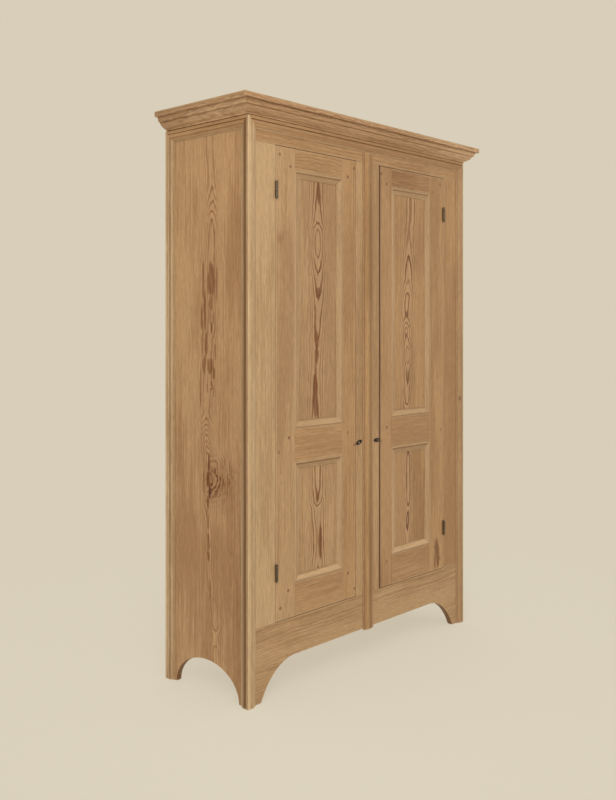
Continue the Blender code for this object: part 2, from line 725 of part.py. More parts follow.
def door_panel(door, side, name, bottom, top):
    reach = GROOVE_DEPTH - PANEL_PLAY
    low, high = across(side, OPENING_INNER - reach, OPENING_OUTER + reach)
    board(
        name,
        (low, GROOVE_FRONT + SEAT_GAP, bottom - reach),
        (high, GROOVE_BACK - SEAT_GAP, top + reach),
        PINE_PANEL,
        door,
    )


def door(side):
    label = f"{SIDE_NAMES[side]}_door"
    axis = axis_empty(f"{label}_axis", (side * HINGE_AXIS, HINGE_LINE, 0))
    hinge_stile = door_stile(
        axis, side, f"{label}_hinge_stile", OPENING_OUTER, DOOR_HINGE_EDGE, OPENING_OUTER
    )
    door_stile(axis, side, f"{label}_lock_stile", DOOR_LOCK_EDGE, OPENING_INNER, OPENING_INNER)
    for place in ("upper", "lower"):
        hinge_pocket(hinge_stile, side, place, DOOR_HINGE_EDGE + 0.01, HINGE_AXIS - leaf_outer())
    lower_groove = (LOWER_OPENING_BOTTOM - GROOVE_DEPTH, LOWER_OPENING_BOTTOM + 0.01)
    middle_low_groove = (LOWER_OPENING_TOP - 0.01, LOWER_OPENING_TOP + GROOVE_DEPTH)
    middle_high_groove = (UPPER_OPENING_BOTTOM - GROOVE_DEPTH, UPPER_OPENING_BOTTOM + 0.01)
    top_groove = (UPPER_OPENING_TOP - 0.01, UPPER_OPENING_TOP + GROOVE_DEPTH)
    rails = (
        ("bottom", DOOR_BOTTOM, LOWER_OPENING_BOTTOM, (lower_groove,)),
        ("middle", LOWER_OPENING_TOP, UPPER_OPENING_BOTTOM, (middle_low_groove, middle_high_groove)),
        ("top", UPPER_OPENING_TOP, DOOR_TOP, (top_groove,)),
    )
    for rail, bottom, top, grooves in rails:
        door_rail(axis, side, f"{label}_{rail}_rail", rail, bottom, top, grooves)
    openings = (
        ("upper", UPPER_OPENING_BOTTOM, UPPER_OPENING_TOP),
        ("lower", LOWER_OPENING_BOTTOM, LOWER_OPENING_TOP),
    )
    for place, bottom, top in openings:
        door_panel(axis, side, f"{label}_{place}_panel", bottom, top)
        panel_moulding(axis, side, f"{label}_{place}_panel_moulding", bottom, top)
    return axis


def hinge_height(place):
    return DOOR_TOP - HINGE_FROM_TOP if place == "upper" else DOOR_BOTTOM + HINGE_FROM_BOTTOM


def leaf_outer():
    """How far a leaf reaches from the hinge axis, towards the wood that it is let into."""
    return HINGE_GAP / 2 + LEAF_THICKNESS


def hinge_pocket(piece, side, place, mouth, floor):
    """The shallow recess in a stile's edge that holds one leaf."""
    outward = 1 if floor > mouth else -1
    low, high = across(side, mouth, floor + outward * SEAT_GAP)
    height = hinge_height(place)
    reach = HINGE_LENGTH / 2 + SEAT_GAP
    cut_box(
        piece,
        f"{piece.name}_{place}_pocket",
        (low, FACE - 0.01, height - reach),
        (high, HINGE_LINE + leaf_depth() + SEAT_GAP, height + reach),
    )


def leaf_depth():
    """How far behind the pin a leaf reaches."""
    return HINGE_STAND_OFF + LEAF_WIDTH


def pin_profile():
    """A hinge pin with a small round tip beyond each end of the knuckles, from top to bottom."""
    half = HINGE_LENGTH / 2
    tip = [(0, half + PIN_TIP_RADIUS)] + [
        (PIN_TIP_RADIUS * sin(radians(a)), half + PIN_TIP_RADIUS * cos(radians(a))) for a in (30, 60, 90)
    ]
    upper = tip + [(PIN_RADIUS, half - 0.002)]
    return upper + [(radius, -height) for radius, height in reversed(upper)]


def leaf_mesh(name, first_knuckle, bored):
    """A hinge leaf on the +X side of its pin: a plate, every second knuckle, and a pin or a bore."""
    knuckle = HINGE_LENGTH / KNUCKLES
    plate = box(name, (LEAF_THICKNESS, leaf_depth(), HINGE_LENGTH))
    piece = helper(name, plate, ((HINGE_GAP + LEAF_THICKNESS) / 2, leaf_depth() / 2, 0))
    tools = [piece]
    for i in range(KNUCKLES):
        middle = (i + 0.5) * knuckle - HINGE_LENGTH / 2
        if i % 2 == first_knuckle:
            barrel = cylinder("barrel", KNUCKLE_RADIUS, knuckle - KNUCKLE_GAP)
            tools.append(helper(f"{name}_knuckle_{i}", barrel, (0, 0, middle)))
            boolean(piece, tools[-1], "UNION")
        else:
            notch = box("notch", (0.02, 2 * (KNUCKLE_RADIUS + KNUCKLE_GAP), knuckle + KNUCKLE_GAP))
            tools.append(helper(f"{name}_notch_{i}", notch, (0, 0, middle)))
            boolean(piece, tools[-1], "DIFFERENCE")
    if bored:
        bore = (PIN_RADIUS + PIN_CLEARANCE) / cos(pi / ROUND_STEPS)
        tools.append(helper(f"{name}_bore", cylinder("bore", bore, 2 * HINGE_LENGTH), (0, 0, 0)))
        boolean(piece, tools[-1], "DIFFERENCE")
    else:
        tools.append(helper(f"{name}_pin", turned("pin", pin_profile()), (0, 0, 0)))
        add_screw(tools[-1])
        boolean(piece, tools[-1], "UNION")
    bpy.context.view_layer.update()
    graph = bpy.context.evaluated_depsgraph_get()
    mesh = bpy.data.meshes.new_from_object(piece.evaluated_get(graph))
    mesh.transform(Matrix.Translation(piece.location))
    for tool in tools:
        bpy.data.objects.remove(tool)
    return mesh


def hinges(axes):
    """Four butt hinges: a leaf with the pin on each front stile, and a bored leaf on each door."""
    frame_leaf = leaf_mesh("frame_leaf", 0, False)
    door_leaf = leaf_mesh("door_leaf", 1, True)
    for side in (LEFT, RIGHT):
        for place in ("upper", "lower"):
            where = (side * HINGE_AXIS, HINGE_LINE, hinge_height(place))
            names = (f"hinge_frame_leaf_{place}_{SIDE_NAMES[side]}", f"hinge_door_leaf_{place}_{SIDE_NAMES[side]}")
            fixed = add(names[0], frame_leaf.copy(), IRON, where)
            moving = add(names[1], door_leaf.copy(), IRON, where, axes[side])
            turned_leaf = fixed if side == LEFT else moving
            turned_leaf.rotation_euler.y = pi


def turn_button(side):
    """An oval iron button, screwed a little off its middle, and the screw that it turns on."""
    half = BUTTON_LENGTH / 2
    steps = 2 * ROUND_STEPS
    outline = [
        (-side * BUTTON_OFF_CENTRE + half * cos(2 * pi * i / steps), BUTTON_WIDTH / 2 * sin(2 * pi * i / steps))
        for i in range(steps)
    ]
    label = SIDE_NAMES[side]
    back = FACE - BUTTON_CLEARANCE
    axis = axis_empty(f"{label}_button_axis", (side * BUTTON_AXIS, FACE, BUTTON_HEIGHT))
    button = extruded(f"{label}_button", outline, -BUTTON_THICKNESS / 2, BUTTON_THICKNESS / 2, ALONG_Y, IRON)
    button.parent = axis
    button.location = (0, back - BUTTON_THICKNESS / 2 - FACE, 0)
    button.rotation_euler.y = -radians(LEFT_BUTTON_TILT) if side == LEFT else 0
    bevel = button.modifiers.new("rounded edge", "BEVEL")
    bevel.width = BUTTON_EDGE
    bevel.segments = 2
    bevel.limit_method = "ANGLE"
    bevel.angle_limit = radians(50)
    hole_radius = (SCREW_SHANK_RADIUS + PIN_CLEARANCE) / cos(pi / ROUND_STEPS)
    hole_place = (side * BUTTON_AXIS, FACE, BUTTON_HEIGHT)
    hole = helper(f"{label}_button_hole", cylinder("hole", hole_radius, 4 * BUTTON_THICKNESS), hole_place)
    hole.rotation_euler.x = pi / 2
    boolean(button, hole, "DIFFERENCE")
    head = BUTTON_CLEARANCE + BUTTON_THICKNESS + PIN_CLEARANCE
    profile = (
        [(0, head + SCREW_HEAD_HEIGHT), (0.6 * SCREW_HEAD_RADIUS, head + 0.85 * SCREW_HEAD_HEIGHT)]
        + [(SCREW_HEAD_RADIUS, head + 0.25 * SCREW_HEAD_HEIGHT), (SCREW_HEAD_RADIUS, head)]
        + [(SCREW_SHANK_RADIUS, head), (SCREW_SHANK_RADIUS, -SCREW_DEPTH + 0.004), (0, -SCREW_DEPTH)]
    )
    screw = add(f"{label}_button_screw", turned("button_screw", profile), IRON, hole_place)
    screw.rotation_euler.x = pi / 2
    add_screw(screw)


def build():
    carcass()
    apron()
    front_frame()
    centre_moulding()
    top_moulding_front()
    crown_front()
    for side in (LEFT, RIGHT):
        corner_moulding(side)
        rear_moulding(side)
        top_moulding_side(side)
        crown_side(side)
        turn_button(side)
    hinges({side: door(side) for side in (LEFT, RIGHT)})


build()
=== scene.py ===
"""Dresses the pine wardrobe: waxed boards with growth rings and knots, the joint pegs of the doors, iron
hinges and turn buttons with slotted screws, on a pale floor in soft light, seen from the photograph's place.

Lengths are in metres. +Z is up, the doors face -Y, and +X is to the right of someone who faces them.
"""

from math import pi, radians

import bpy
import numpy as np
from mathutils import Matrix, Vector

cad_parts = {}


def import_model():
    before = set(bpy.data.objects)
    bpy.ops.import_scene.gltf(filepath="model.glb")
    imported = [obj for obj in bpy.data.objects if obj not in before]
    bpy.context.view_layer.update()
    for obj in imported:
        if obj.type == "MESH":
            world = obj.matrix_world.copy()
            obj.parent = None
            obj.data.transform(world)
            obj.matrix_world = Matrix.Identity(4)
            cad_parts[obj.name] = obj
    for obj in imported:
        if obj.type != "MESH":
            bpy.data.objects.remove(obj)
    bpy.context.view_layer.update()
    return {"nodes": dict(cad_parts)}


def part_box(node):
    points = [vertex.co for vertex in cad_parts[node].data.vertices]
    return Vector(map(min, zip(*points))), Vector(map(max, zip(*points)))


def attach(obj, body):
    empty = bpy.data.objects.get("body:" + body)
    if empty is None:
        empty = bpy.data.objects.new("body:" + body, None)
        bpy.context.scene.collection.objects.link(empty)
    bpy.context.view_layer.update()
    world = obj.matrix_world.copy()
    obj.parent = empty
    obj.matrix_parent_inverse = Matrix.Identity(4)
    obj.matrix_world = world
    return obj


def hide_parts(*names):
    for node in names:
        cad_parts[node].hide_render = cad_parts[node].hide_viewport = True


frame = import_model()

# Where the photograph was taken from: a level view, with the picture shifted down from its middle
EYE = (-2.872, -2.5105, 1.299)
HEADING = 42.57
LENS = 42.56
SENSOR = 36
SHIFT_UP = -0.0925

BACKGROUND = (216, 206, 185)


def tone(red, green, blue):
    """A colour as it is seen on a screen, from 0 to 255, as the light values that a shader takes."""
    seen = np.array((red, green, blue)) / 255
    light = np.where(seen <= 0.04045, seen / 12.92, ((seen + 0.055) / 1.055) ** 2.4)
    return (*(float(value) for value in light), 1.0)


# Shader nodes


class Sketch:
    """Places nodes in one tree and links them. Its arithmetic gives the socket that holds the result."""

    def __init__(self, tree):
        self.tree = tree

    def put(self, socket, value):
        if isinstance(value, bpy.types.NodeSocket):
            self.tree.links.new(value, socket)
        elif value is not None:
            socket.default_value = value

    def node(self, kind, values=(), **settings):
        made = self.tree.nodes.new(kind)
        for name, setting in settings.items():
            setattr(made, name, setting)
        for place, value in dict(values).items():
            self.put(made.inputs[place], value)
        return made

    def fill(self, node, **values):
        """Gives a node's inputs their values by name, with an underscore for a space."""
        for label, value in values.items():
            self.put(node.inputs[label.replace("_", " ")], value)

    def math(self, operation, *values, clamp=False):
        return self.node("ShaderNodeMath", enumerate(values), operation=operation, use_clamp=clamp).outputs[0]

    def times(self, first, *others, clamp=False):
        for other in others:
            first = self.math("MULTIPLY", first, other, clamp=clamp)
        return first

    def minus(self, value, other, clamp=False):
        return self.math("SUBTRACT", value, other, clamp=clamp)

    def stray(self, value, noise, width):
        """The value, moved across a band of this width round it as the noise goes from 0 to 1."""
        return self.math("MULTIPLY_ADD", self.minus(noise, 0.5), width, value)

    def vector(self, operation, *values):
        made = self.node("ShaderNodeVectorMath", enumerate(values), operation=operation)
        return made.outputs["Value" if operation == "LENGTH" else "Vector"]

    def combine(self, x, y, z):
        return self.node("ShaderNodeCombineXYZ", enumerate((x, y, z))).outputs[0]

    def separate(self, vector):
        return self.node("ShaderNodeSeparateXYZ", {0: vector}).outputs

    def blend(self, share, first, second, way="MIX"):
        made = self.node("ShaderNodeMix", {0: share, 6: first, 7: second}, data_type="RGBA", blend_type=way)
        return made.outputs[2]

    def between(self, share, first, second):
        return self.node("ShaderNodeMix", {0: share, 2: first, 3: second}, data_type="FLOAT").outputs[0]

    def step(self, value, low, high, bottom=0.0, top=1.0):
        """Rises smoothly from bottom to top as the value goes from low to high."""
        made = self.node("ShaderNodeMapRange", {0: value, 1: low, 2: high, 3: bottom, 4: top})
        made.interpolation_type = "SMOOTHSTEP"
        return made.outputs[0]

    def bell(self, value, width):
        """One at zero, falling off as exp(-(value / width) squared)."""
        share = self.math("DIVIDE", value, width)
        return self.math("EXPONENT", self.times(share, share, -1.0))

    def noise(self, place, stretch, seed, detail=2.0, rough=0.5):
        """Noise from 0 to 1, stretch cells to the metre along each axis; the seed moves it elsewhere."""
        moved = self.vector("MULTIPLY_ADD", place, stretch, self.combine(seed, seed, seed))
        values = {"Vector": moved, "Scale": 1.0, "Detail": detail, "Roughness": rough}
        return self.node("ShaderNodeTexNoise", values).outputs[0]

    def curve(self, value, points):
        """A curve through (value, height) points, both from 0 to 1, that doesn't overshoot between them."""
        made = self.node("ShaderNodeFloatCurve", {"Value": value})
        line = made.mapping.curves[0]
        line.points[0].location = points[0]
        line.points[-1].location = points[-1]
        for point in points[1:-1]:
            line.points.new(*point)
        for point in line.points:
            point.handle_type = "AUTO_CLAMPED"
        made.mapping.update()
        return made.outputs[0]


SOCKETS = {float: "NodeSocketFloat", tuple: "NodeSocketColor", Vector: "NodeSocketVector"}


def new_group(name, inputs, outputs):
    """An empty shader group: its sketch, its input sockets by name, and the node that takes its outputs."""
    tree = bpy.data.node_groups.new(name, "ShaderNodeTree")
    for label, value in inputs.items():
        socket = tree.interface.new_socket(label, in_out="INPUT", socket_type=SOCKETS[type(value)])
        socket.default_value = value
    for label, kind in outputs.items():
        tree.interface.new_socket(label, in_out="OUTPUT", socket_type=SOCKETS[kind])
    entry, out = tree.nodes.new("NodeGroupInput"), tree.nodes.new("NodeGroupOutput")
    return Sketch(tree), {socket.name: socket for socket in entry.outputs if socket.name}, out


def use_group(sketch, group, **values):
    """A group placed in a tree: its outputs by name."""
    made = sketch.node("ShaderNodeGroup", node_tree=GROUPS[group])
    sketch.fill(made, **values)
    return made.outputs


# Wood

# How the rings of a plain board run, in metres or as shares; growth_rings() says what each does
RINGS = {
    "spacing": 0.0050, "sway": 0.012, "bend": 0.013, "reach": 0.040, "unevenness": 0.4, "tear": 0.0028,
    "wave": 0.0, "late": 0.50,
}


def growth_rings():
    """Rings round a heart that runs along the board: radius = sqrt(across^2 + depth^2), bent by slow noise.

    Each ring starts pale and darkens to its latewood, which ends abruptly. Late is the share of the ring
    where it starts to darken, a little later over the heart. Where the heart's depth changes along the board,
    the cut rings show as nested arches and eyes. Away from the heart they run straight. Sway moves the heart
    across the board, Bend, Wave and Tear bend the rings broadly, in waves and finely, Unevenness makes some
    fainter than others, and Reach is how far from the heart the figured wood goes.
    """
    s, given, out = new_group(
        "growth rings",
        {
            "Place": Vector(), "Heart Depth": 0.03, "Drift": 0.0, "Push": 0.0, "Squeeze": 1.0, "Seed": 0.0,
            **{label.capitalize(): value for label, value in RINGS.items()},
        },
        {"Line": float, "Closeness": float},
    )
    place, seed = given["Place"], given["Seed"]
    across, depth, along = s.separate(place)[:3]
    slow = s.noise(s.combine(0.0, 0.0, along), (0, 0, 1.6), seed, 1.0)
    quick = s.noise(s.combine(0.0, 0.0, along), (0, 0, 11.0), seed, 1.0)
    sway = s.stray(s.minus(slow, 0.5), quick, 0.22)
    from_heart = s.math("MULTIPLY_ADD", sway, s.times(given["Sway"], 2.0), across)
    from_heart = s.times(s.minus(from_heart, given["Drift"]), given["Squeeze"])
    deep = s.math("ADD", given["Heart Depth"], depth)
    squares = s.math("MULTIPLY_ADD", from_heart, from_heart, s.times(deep, deep))
    radius = s.math("ADD", s.math("SQRT", squares), given["Push"])
    broad = s.noise(place, (22, 22, 3.2), seed, 2.0)
    fine = s.noise(place, (170, 170, 16), seed, 3.0)
    bent = s.stray(s.stray(radius, broad, given["Bend"]), fine, given["Tear"])
    waves = s.noise(place, (26, 26, 13), seed, 2.0)
    rings = s.math("DIVIDE", s.stray(bent, waves, given["Wave"]), given["Spacing"])
    share = s.math("FRACT", rings)
    ring = s.math("FLOOR", rings)
    late = s.math("MULTIPLY_ADD", s.bell(from_heart, 0.009), 0.16, given["Late"])
    line = s.times(s.step(share, late, s.math("ADD", late, 0.26)), s.step(share, 1.0, 0.95))
    chance = s.node("ShaderNodeTexWhiteNoise", {"W": s.math("ADD", ring, seed)}, noise_dimensions="1D")
    strength = s.minus(1.0, s.times(chance.outputs[0], given["Unevenness"]))
    s.fill(out, Line=s.times(line, strength), Closeness=s.bell(from_heart, given["Reach"]))
    return s.tree


def knot():
    """A knot's pull on the rings, and its dark core: both fall off as a bell round its middle."""
    s, given, out = new_group(
        "knot",
        {"Place": Vector(), "Middle": Vector(), "Size": Vector((0.02, 0.02, 0.03)), "Seed": 0.0},
        {"Pull": float, "Core": float},
    )
    apart = s.vector("DIVIDE", s.vector("SUBTRACT", given["Place"], given["Middle"]), given["Size"])
    ragged = s.noise(given["Place"], (60, 60, 40), given["Seed"], 3.0)
    far = s.stray(s.vector("LENGTH", apart), ragged, 0.5)
    s.fill(out, Pull=s.bell(far, 1.0), Core=s.bell(far, 0.5))
    return s.tree


def resin():
    """A resin patch with torn edges: one inside the ellipse of its size, and nothing outside."""
    s, given, out = new_group(
        "resin",
        {"Place": Vector(), "Middle": Vector(), "Size": Vector((1, 1, 1)), "Torn": 0.0},
        {"Patch": float},
    )
    apart = s.vector("DIVIDE", s.vector("SUBTRACT", given["Place"], given["Middle"]), given["Size"])
    s.fill(out, Patch=s.step(s.math("ADD", s.vector("LENGTH", apart), given["Torn"]), 1.0, 0.72))
    return s.tree


def whorl():
    """Feathery grain round a knot, on its front side: lines at equal wavy distances from the middle."""
    s, given, out = new_group(
        "whorl",
        {"Place": Vector(), "Middle": Vector(), "Size": Vector((1, 1, 1)), "Spacing": 0.01, "Seed": 0.0},
        {"Lines": float},
    )
    place, seed = given["Place"], given["Seed"]
    apart = s.vector("SUBTRACT", place, given["Middle"])
    off = s.vector("LENGTH", s.vector("MULTIPLY", apart, (1.0, 0.0, 0.8)))
    wavy = s.math("MULTIPLY_ADD", s.noise(place, (16, 16, 14), seed, 3.0, 0.6), 0.075, off)
    wavy = s.math("MULTIPLY_ADD", s.noise(place, (130, 130, 90), seed, 2.0), 0.009, wavy)
    share = s.math("FRACT", s.math("DIVIDE", wavy, given["Spacing"]))
    lines = s.times(s.step(share, 0.25, 0.65), s.step(share, 1.0, 0.88))
    patchy = s.step(s.noise(place, (45, 45, 30), seed, 3.0), 0.34, 0.56, 0.30, 1.0)
    fade = s.bell(s.vector("LENGTH", s.vector("DIVIDE", apart, given["Size"])), 0.85)
    to_side = s.step(s.separate(apart)[0], 0.010, -0.010)
    s.fill(out, Lines=s.times(lines, fade, patchy, to_side))
    return s.tree


def edge_wear():
    """How near a point lies to an edge of a box: the second smallest of its distances to the faces.

    Edge is one on the edge and nothing at Width from it; Rubbed is the same, broken up by noise.
    """
    s, given, out = new_group(
        "edge wear",
        {"Place": Vector(), "Half Size": Vector((1, 1, 1)), "Width": 0.004, "Seed": 0.0},
        {"Edge": float, "Rubbed": float},
    )
    inside = s.vector("SUBTRACT", given["Half Size"], s.vector("ABSOLUTE", given["Place"]))
    x, y, z = s.separate(inside)[:3]
    smaller, larger = s.math("MINIMUM", x, y), s.math("MAXIMUM", x, y)
    second = s.math("MAXIMUM", smaller, s.math("MINIMUM", larger, z))
    share = s.math("DIVIDE", second, given["Width"])
    broken = s.noise(given["Place"], (35, 35, 35), given["Seed"], 3.0)
    rubbed = s.step(s.math("MULTIPLY_ADD", broken, -1.4, share), 0.5, -0.5)
    s.fill(out, Edge=s.step(share, 1.0, 0.1), Rubbed=rubbed)
    return s.tree


PALE_WOOD = (204, 166, 124)
PITCH = (46, 24, 8)


def pine():
    """Waxed pine: pale streaks along the grain, ring lines that redden and darken near the heart, pores.

    Core is resin or knot wood: it takes the heart's colour at one, and is nearly black at two.
    """
    s, given, out = new_group(
        "pine",
        {
            "Place": Vector(), "Line": 0.0, "Closeness": 0.0, "Light": (1, 1, 1, 1), "Dark": (0, 0, 0, 1),
            "Ring": (0, 0, 0, 1), "Heart": (0, 0, 0, 1), "Plain Contrast": 0.25, "Heart Contrast": 0.8,
            "Pale": 0.0, "Core": 0.0, "Grime": 0.0, "Wax": (0, 0, 0, 1), "Seed": 0.0,
        },
        {"Colour": tuple, "Roughness": float, "Height": float},
    )
    place, seed = given["Place"], given["Seed"]
    streak = s.noise(place, (140, 60, 3.6), seed, 4.0, 0.62)
    patch = s.noise(place, (6, 6, 1.7), seed, 2.0)
    fibre = s.noise(place, (900, 900, 26), seed, 2.0, 0.7)
    pore = s.step(s.noise(place, (480, 480, 30), seed, 1.0), 0.60, 0.74)
    shade = s.stray(streak, patch, 1.3)
    colour = s.blend(s.step(shade, 0.36, 0.66), given["Light"], given["Dark"])
    strength = s.between(given["Closeness"], given["Plain Contrast"], given["Heart Contrast"])
    colour = s.blend(s.times(given["Closeness"], given["Pale"]), colour, tone(*PALE_WOOD))
    drawn = s.times(given["Line"], strength)
    drawn = s.times(drawn, s.step(streak, 0.30, 0.62, 1.10, 0.82), clamp=True)
    line_colour = s.blend(given["Closeness"], given["Ring"], given["Heart"])
    colour = s.blend(drawn, colour, line_colour)
    colour = s.blend(given["Core"], colour, given["Heart"])
    colour = s.blend(s.minus(given["Core"], 1.0, clamp=True), colour, tone(*PITCH))
    colour = s.blend(s.times(pore, 0.16), colour, given["Ring"])
    vein = s.step(s.noise(place, (200, 180, 26), seed, 3.0, 0.7), 0.30, 0.70, 0.87, 1.09)
    grey = s.times(s.step(fibre, 0.25, 0.75, 0.92, 1.07), vein)
    colour = s.blend(1.0, colour, s.combine(grey, grey, grey), "MULTIPLY")
    # Painted shade, mixed in towards its own dark colour
    colour = s.blend(given["Grime"], colour, given["Wax"])
    rough = s.math("MULTIPLY_ADD", drawn, -0.08, s.step(streak, 0.3, 0.7, 0.46, 0.58))
    height = s.math("MULTIPLY_ADD", s.minus(fibre, pore), 0.35, s.times(given["Line"], 0.6))
    s.fill(out, Colour=colour, Roughness=rough, Height=height)
    return s.tree


def iron():
    """Old black iron: worn paler in places, with small pits and rust in them."""
    s, given, out = new_group(
        "old iron",
        {"Place": Vector(), "Black": (0, 0, 0, 1), "Worn": (0, 0, 0, 1), "Rust": (0, 0, 0, 1), "Seed": 0.0},
        {"Colour": tuple, "Roughness": float, "Height": float},
    )
    pits = s.noise(given["Place"], (420, 420, 420), given["Seed"], 4.0, 0.65)
    rust = s.noise(given["Place"], (110, 110, 90), given["Seed"], 3.0, 0.6)
    colour = s.blend(s.step(pits, 0.35, 0.7), given["Black"], given["Worn"])
    colour = s.blend(s.step(rust, 0.52, 0.72), colour, given["Rust"])
    s.fill(out, Colour=colour, Roughness=s.step(rust, 0.4, 0.7, 0.36, 0.62), Height=pits)
    return s.tree


GROUPS = {build.__name__: build() for build in (growth_rings, knot, resin, whorl, edge_wear, pine, iron)}

# Colours of the boards: between streaks, in streaks, ring lines, and rings cut flat near the heart
STRAW = ((194, 159, 114), (177, 141, 97), (146, 105, 66), (118, 70, 46))
HONEY = ((186, 148, 103), (167, 129, 86), (138, 95, 58), (114, 62, 16))
AMBER = ((183, 141, 93), (165, 124, 79), (136, 93, 54), (112, 66, 26))
TAN = ((180, 139, 93), (166, 125, 81), (138, 94, 56), (112, 66, 42))
SIDE = ((184, 144, 98), (163, 122, 78), (128, 86, 48), (112, 60, 14))
RUSSET = ((178, 137, 91), (160, 120, 75), (132, 90, 52), (104, 60, 34))
DEEP = ((166, 124, 82), (148, 107, 66), (124, 80, 44), (104, 60, 34))
CROWN = ((203, 163, 118), (182, 141, 98), (130, 84, 46), (112, 66, 42))
PALE = ((203, 172, 129), (186, 152, 108), (150, 112, 72), (122, 78, 52))
CREAM = ((210, 178, 134), (194, 160, 116), (150, 112, 72), (122, 78, 52))
BUFF = ((191, 154, 111), (176, 139, 97), (140, 102, 64), (118, 76, 50))
BISCUIT = ((204, 167, 122), (188, 151, 107), (146, 106, 66), (118, 76, 50))
RAW = ((186, 152, 108), (170, 134, 92), (140, 98, 62), (118, 72, 48))

# The most that the heart's depth, or its drift from side to side, and a squeeze can come to
BOARD_REACH = 0.1
SQUEEZE_REACH = 4.0
# How far beside its middle the heart of a plain board lies, and that of a panel's moulding
HEART_ASIDE = 0.11
MOULDING_HEART_ASIDE = 0.05
EDGE_WIDTH = 0.006
# The rings round a knot that pulls harder than this are drawn nearly as strongly as the heart's
STRONG_PULL = 0.02
GRAIN_DEPTH = 0.0006
PIT_DEPTH = 0.0003


def new_material(name):
    """A material, its sketch, its shader, and the socket that gives a point's place in the room."""
    material = bpy.data.materials.new(name)
    material.use_nodes = True
    sketch = Sketch(material.node_tree)
    place = sketch.node("ShaderNodeTexCoord").outputs["Object"]
    return material, sketch, material.node_tree.nodes["Principled BSDF"], place


def add_bump(s, shader, height, strength, distance):
    bump = s.node("ShaderNodeBump", {"Height": height, "Strength": strength, "Distance": distance})
    s.fill(shader, Normal=bump.outputs[0])


def add_object(name, data):
    made = bpy.data.objects.new(name, data)
    bpy.context.scene.collection.objects.link(made)
    return made


def grain(wood, seed, heart=None, **details):
    """How a board is cut and coloured. Lengths in metres; heart is (across, face) in the room.

    figure is a list of (place along the board, how many rings its face is from the heart), drift of (place
    along the board, how far the heart strays across it), squeeze of (place along the board, how much
    narrower the figure is). knots are (middle in the room, size, pull on the rings, darkness), patches of
    resin (middle in the room, size, darkness), whorls (middle in the room, size, spacing, darkness).
    Painted shade, in hollows and gaps and on faces turned from the light, is a list of (distance, width,
    darkness) lines in its own colour, and distance the function that measures them. A board that needs more
    than one distance, or grain in two directions, has a function that gives its painted shade, or frame_of,
    instead. contrast is how strongly rings are drawn, away from the heart and near it.
    """
    settings = {
        **RINGS, "tones": wood, "seed": seed, "heart": heart, "depth": 0.03, "contrast": (0.18, 0.50),
        "pale": 0.0, "figure": None, "drift": None, "squeeze": None, "knots": (), "patches": (), "whorls": (),
        # Painted shade: its lines, its colour, and the functions that measure or give it
        "grime": (), "shade_tone": (106, 68, 28), "distance": None, "grime_of": None, "flip": 1.0, "frame_of": None,
        "gloss": 0.38, "relief": 0.22, "edge": 0.30, "rubbed": 0.35,
    }
    assert set(details) <= set(settings)
    return {**settings, **details}


def board_frame(s, place, axes, heart, flip=1.0):
    """The place measured from the heart, as (across, depth, along); axes names the room's axis of each."""
    sides = dict(zip("XYZ", s.separate(place)[:3]))
    turned = s.combine(*(sides[axis] for axis in axes))
    moved = s.vector("SUBTRACT", turned, (heart[0], heart[1], 0.0))
    return s.vector("MULTIPLY", moved, (1.0, flip, 1.0))


def along_board(s, along, points, reach, middle=0.0):
    """A value that changes along the board, through (place along the board, value) points.

    The curve's height is value / reach + middle, so that it stays from 0 to 1.
    """
    first, last = points[0][0], points[-1][0]
    share = s.node("ShaderNodeMapRange", {0: along, 1: first, 2: last}).outputs[0]
    shape = [((at - first) / (last - first), value / reach + middle) for at, value in points]
    return s.times(s.minus(s.curve(share, shape), middle), reach)


def knot_bumps(s, local, axes, heart, how):
    """The knots' pull on the rings, how strongly those are drawn, and how dark cores and patches are."""
    push, drawn, core, seed = 0.0, 0.0, 0.0, how["seed"]

    def at(middle):
        moved = Vector([middle["XYZ".index(axis)] for axis in axes]) - Vector((heart[0], heart[1], 0))
        moved.y *= how["flip"]
        return moved

    for middle, size, pull, dark in how["knots"]:
        made = use_group(s, "knot", Place=local, Middle=at(middle), Size=size, Seed=seed)
        push = s.math("MULTIPLY_ADD", made["Pull"], pull, push)
        if pull > STRONG_PULL:
            drawn = s.math("MAXIMUM", s.times(made["Pull"], 0.9), drawn)
        core = s.math("MULTIPLY_ADD", made["Core"], dark, core)
    if how["patches"]:
        torn = s.math("MULTIPLY_ADD", s.noise(local, (190, 190, 24), seed, 4.0, 0.6), 1.3, -0.65)
        streaky = s.step(s.noise(local, (320, 320, 12), seed, 2.0), 0.3, 0.6, 1.0, 0.7)
        resin = 0.0
        for middle, size, dark in how["patches"]:
            made = use_group(s, "resin", Place=local, Middle=at(middle), Size=size, Torn=torn)
            resin = s.math("MAXIMUM", s.times(made["Patch"], dark), resin)
        core = s.math("MAXIMUM", s.times(resin, streaky), core)
    for middle, size, spacing, dark in how["whorls"]:
        made = use_group(s, "whorl", Place=local, Middle=at(middle), Size=size, Spacing=spacing, Seed=seed)
        core = s.math("MAXIMUM", s.times(made["Lines"], dark), core)
    return push, drawn, core


def grime_lines(s, distance, lines):
    """Lines of painted shade: a bell round each (distance, width, darkness)."""
    total = None
    for middle, width, darkness in lines:
        line = s.times(s.bell(s.minus(distance, middle), width), darkness)
        total = line if total is None else s.math("MAXIMUM", total, line)
    return total


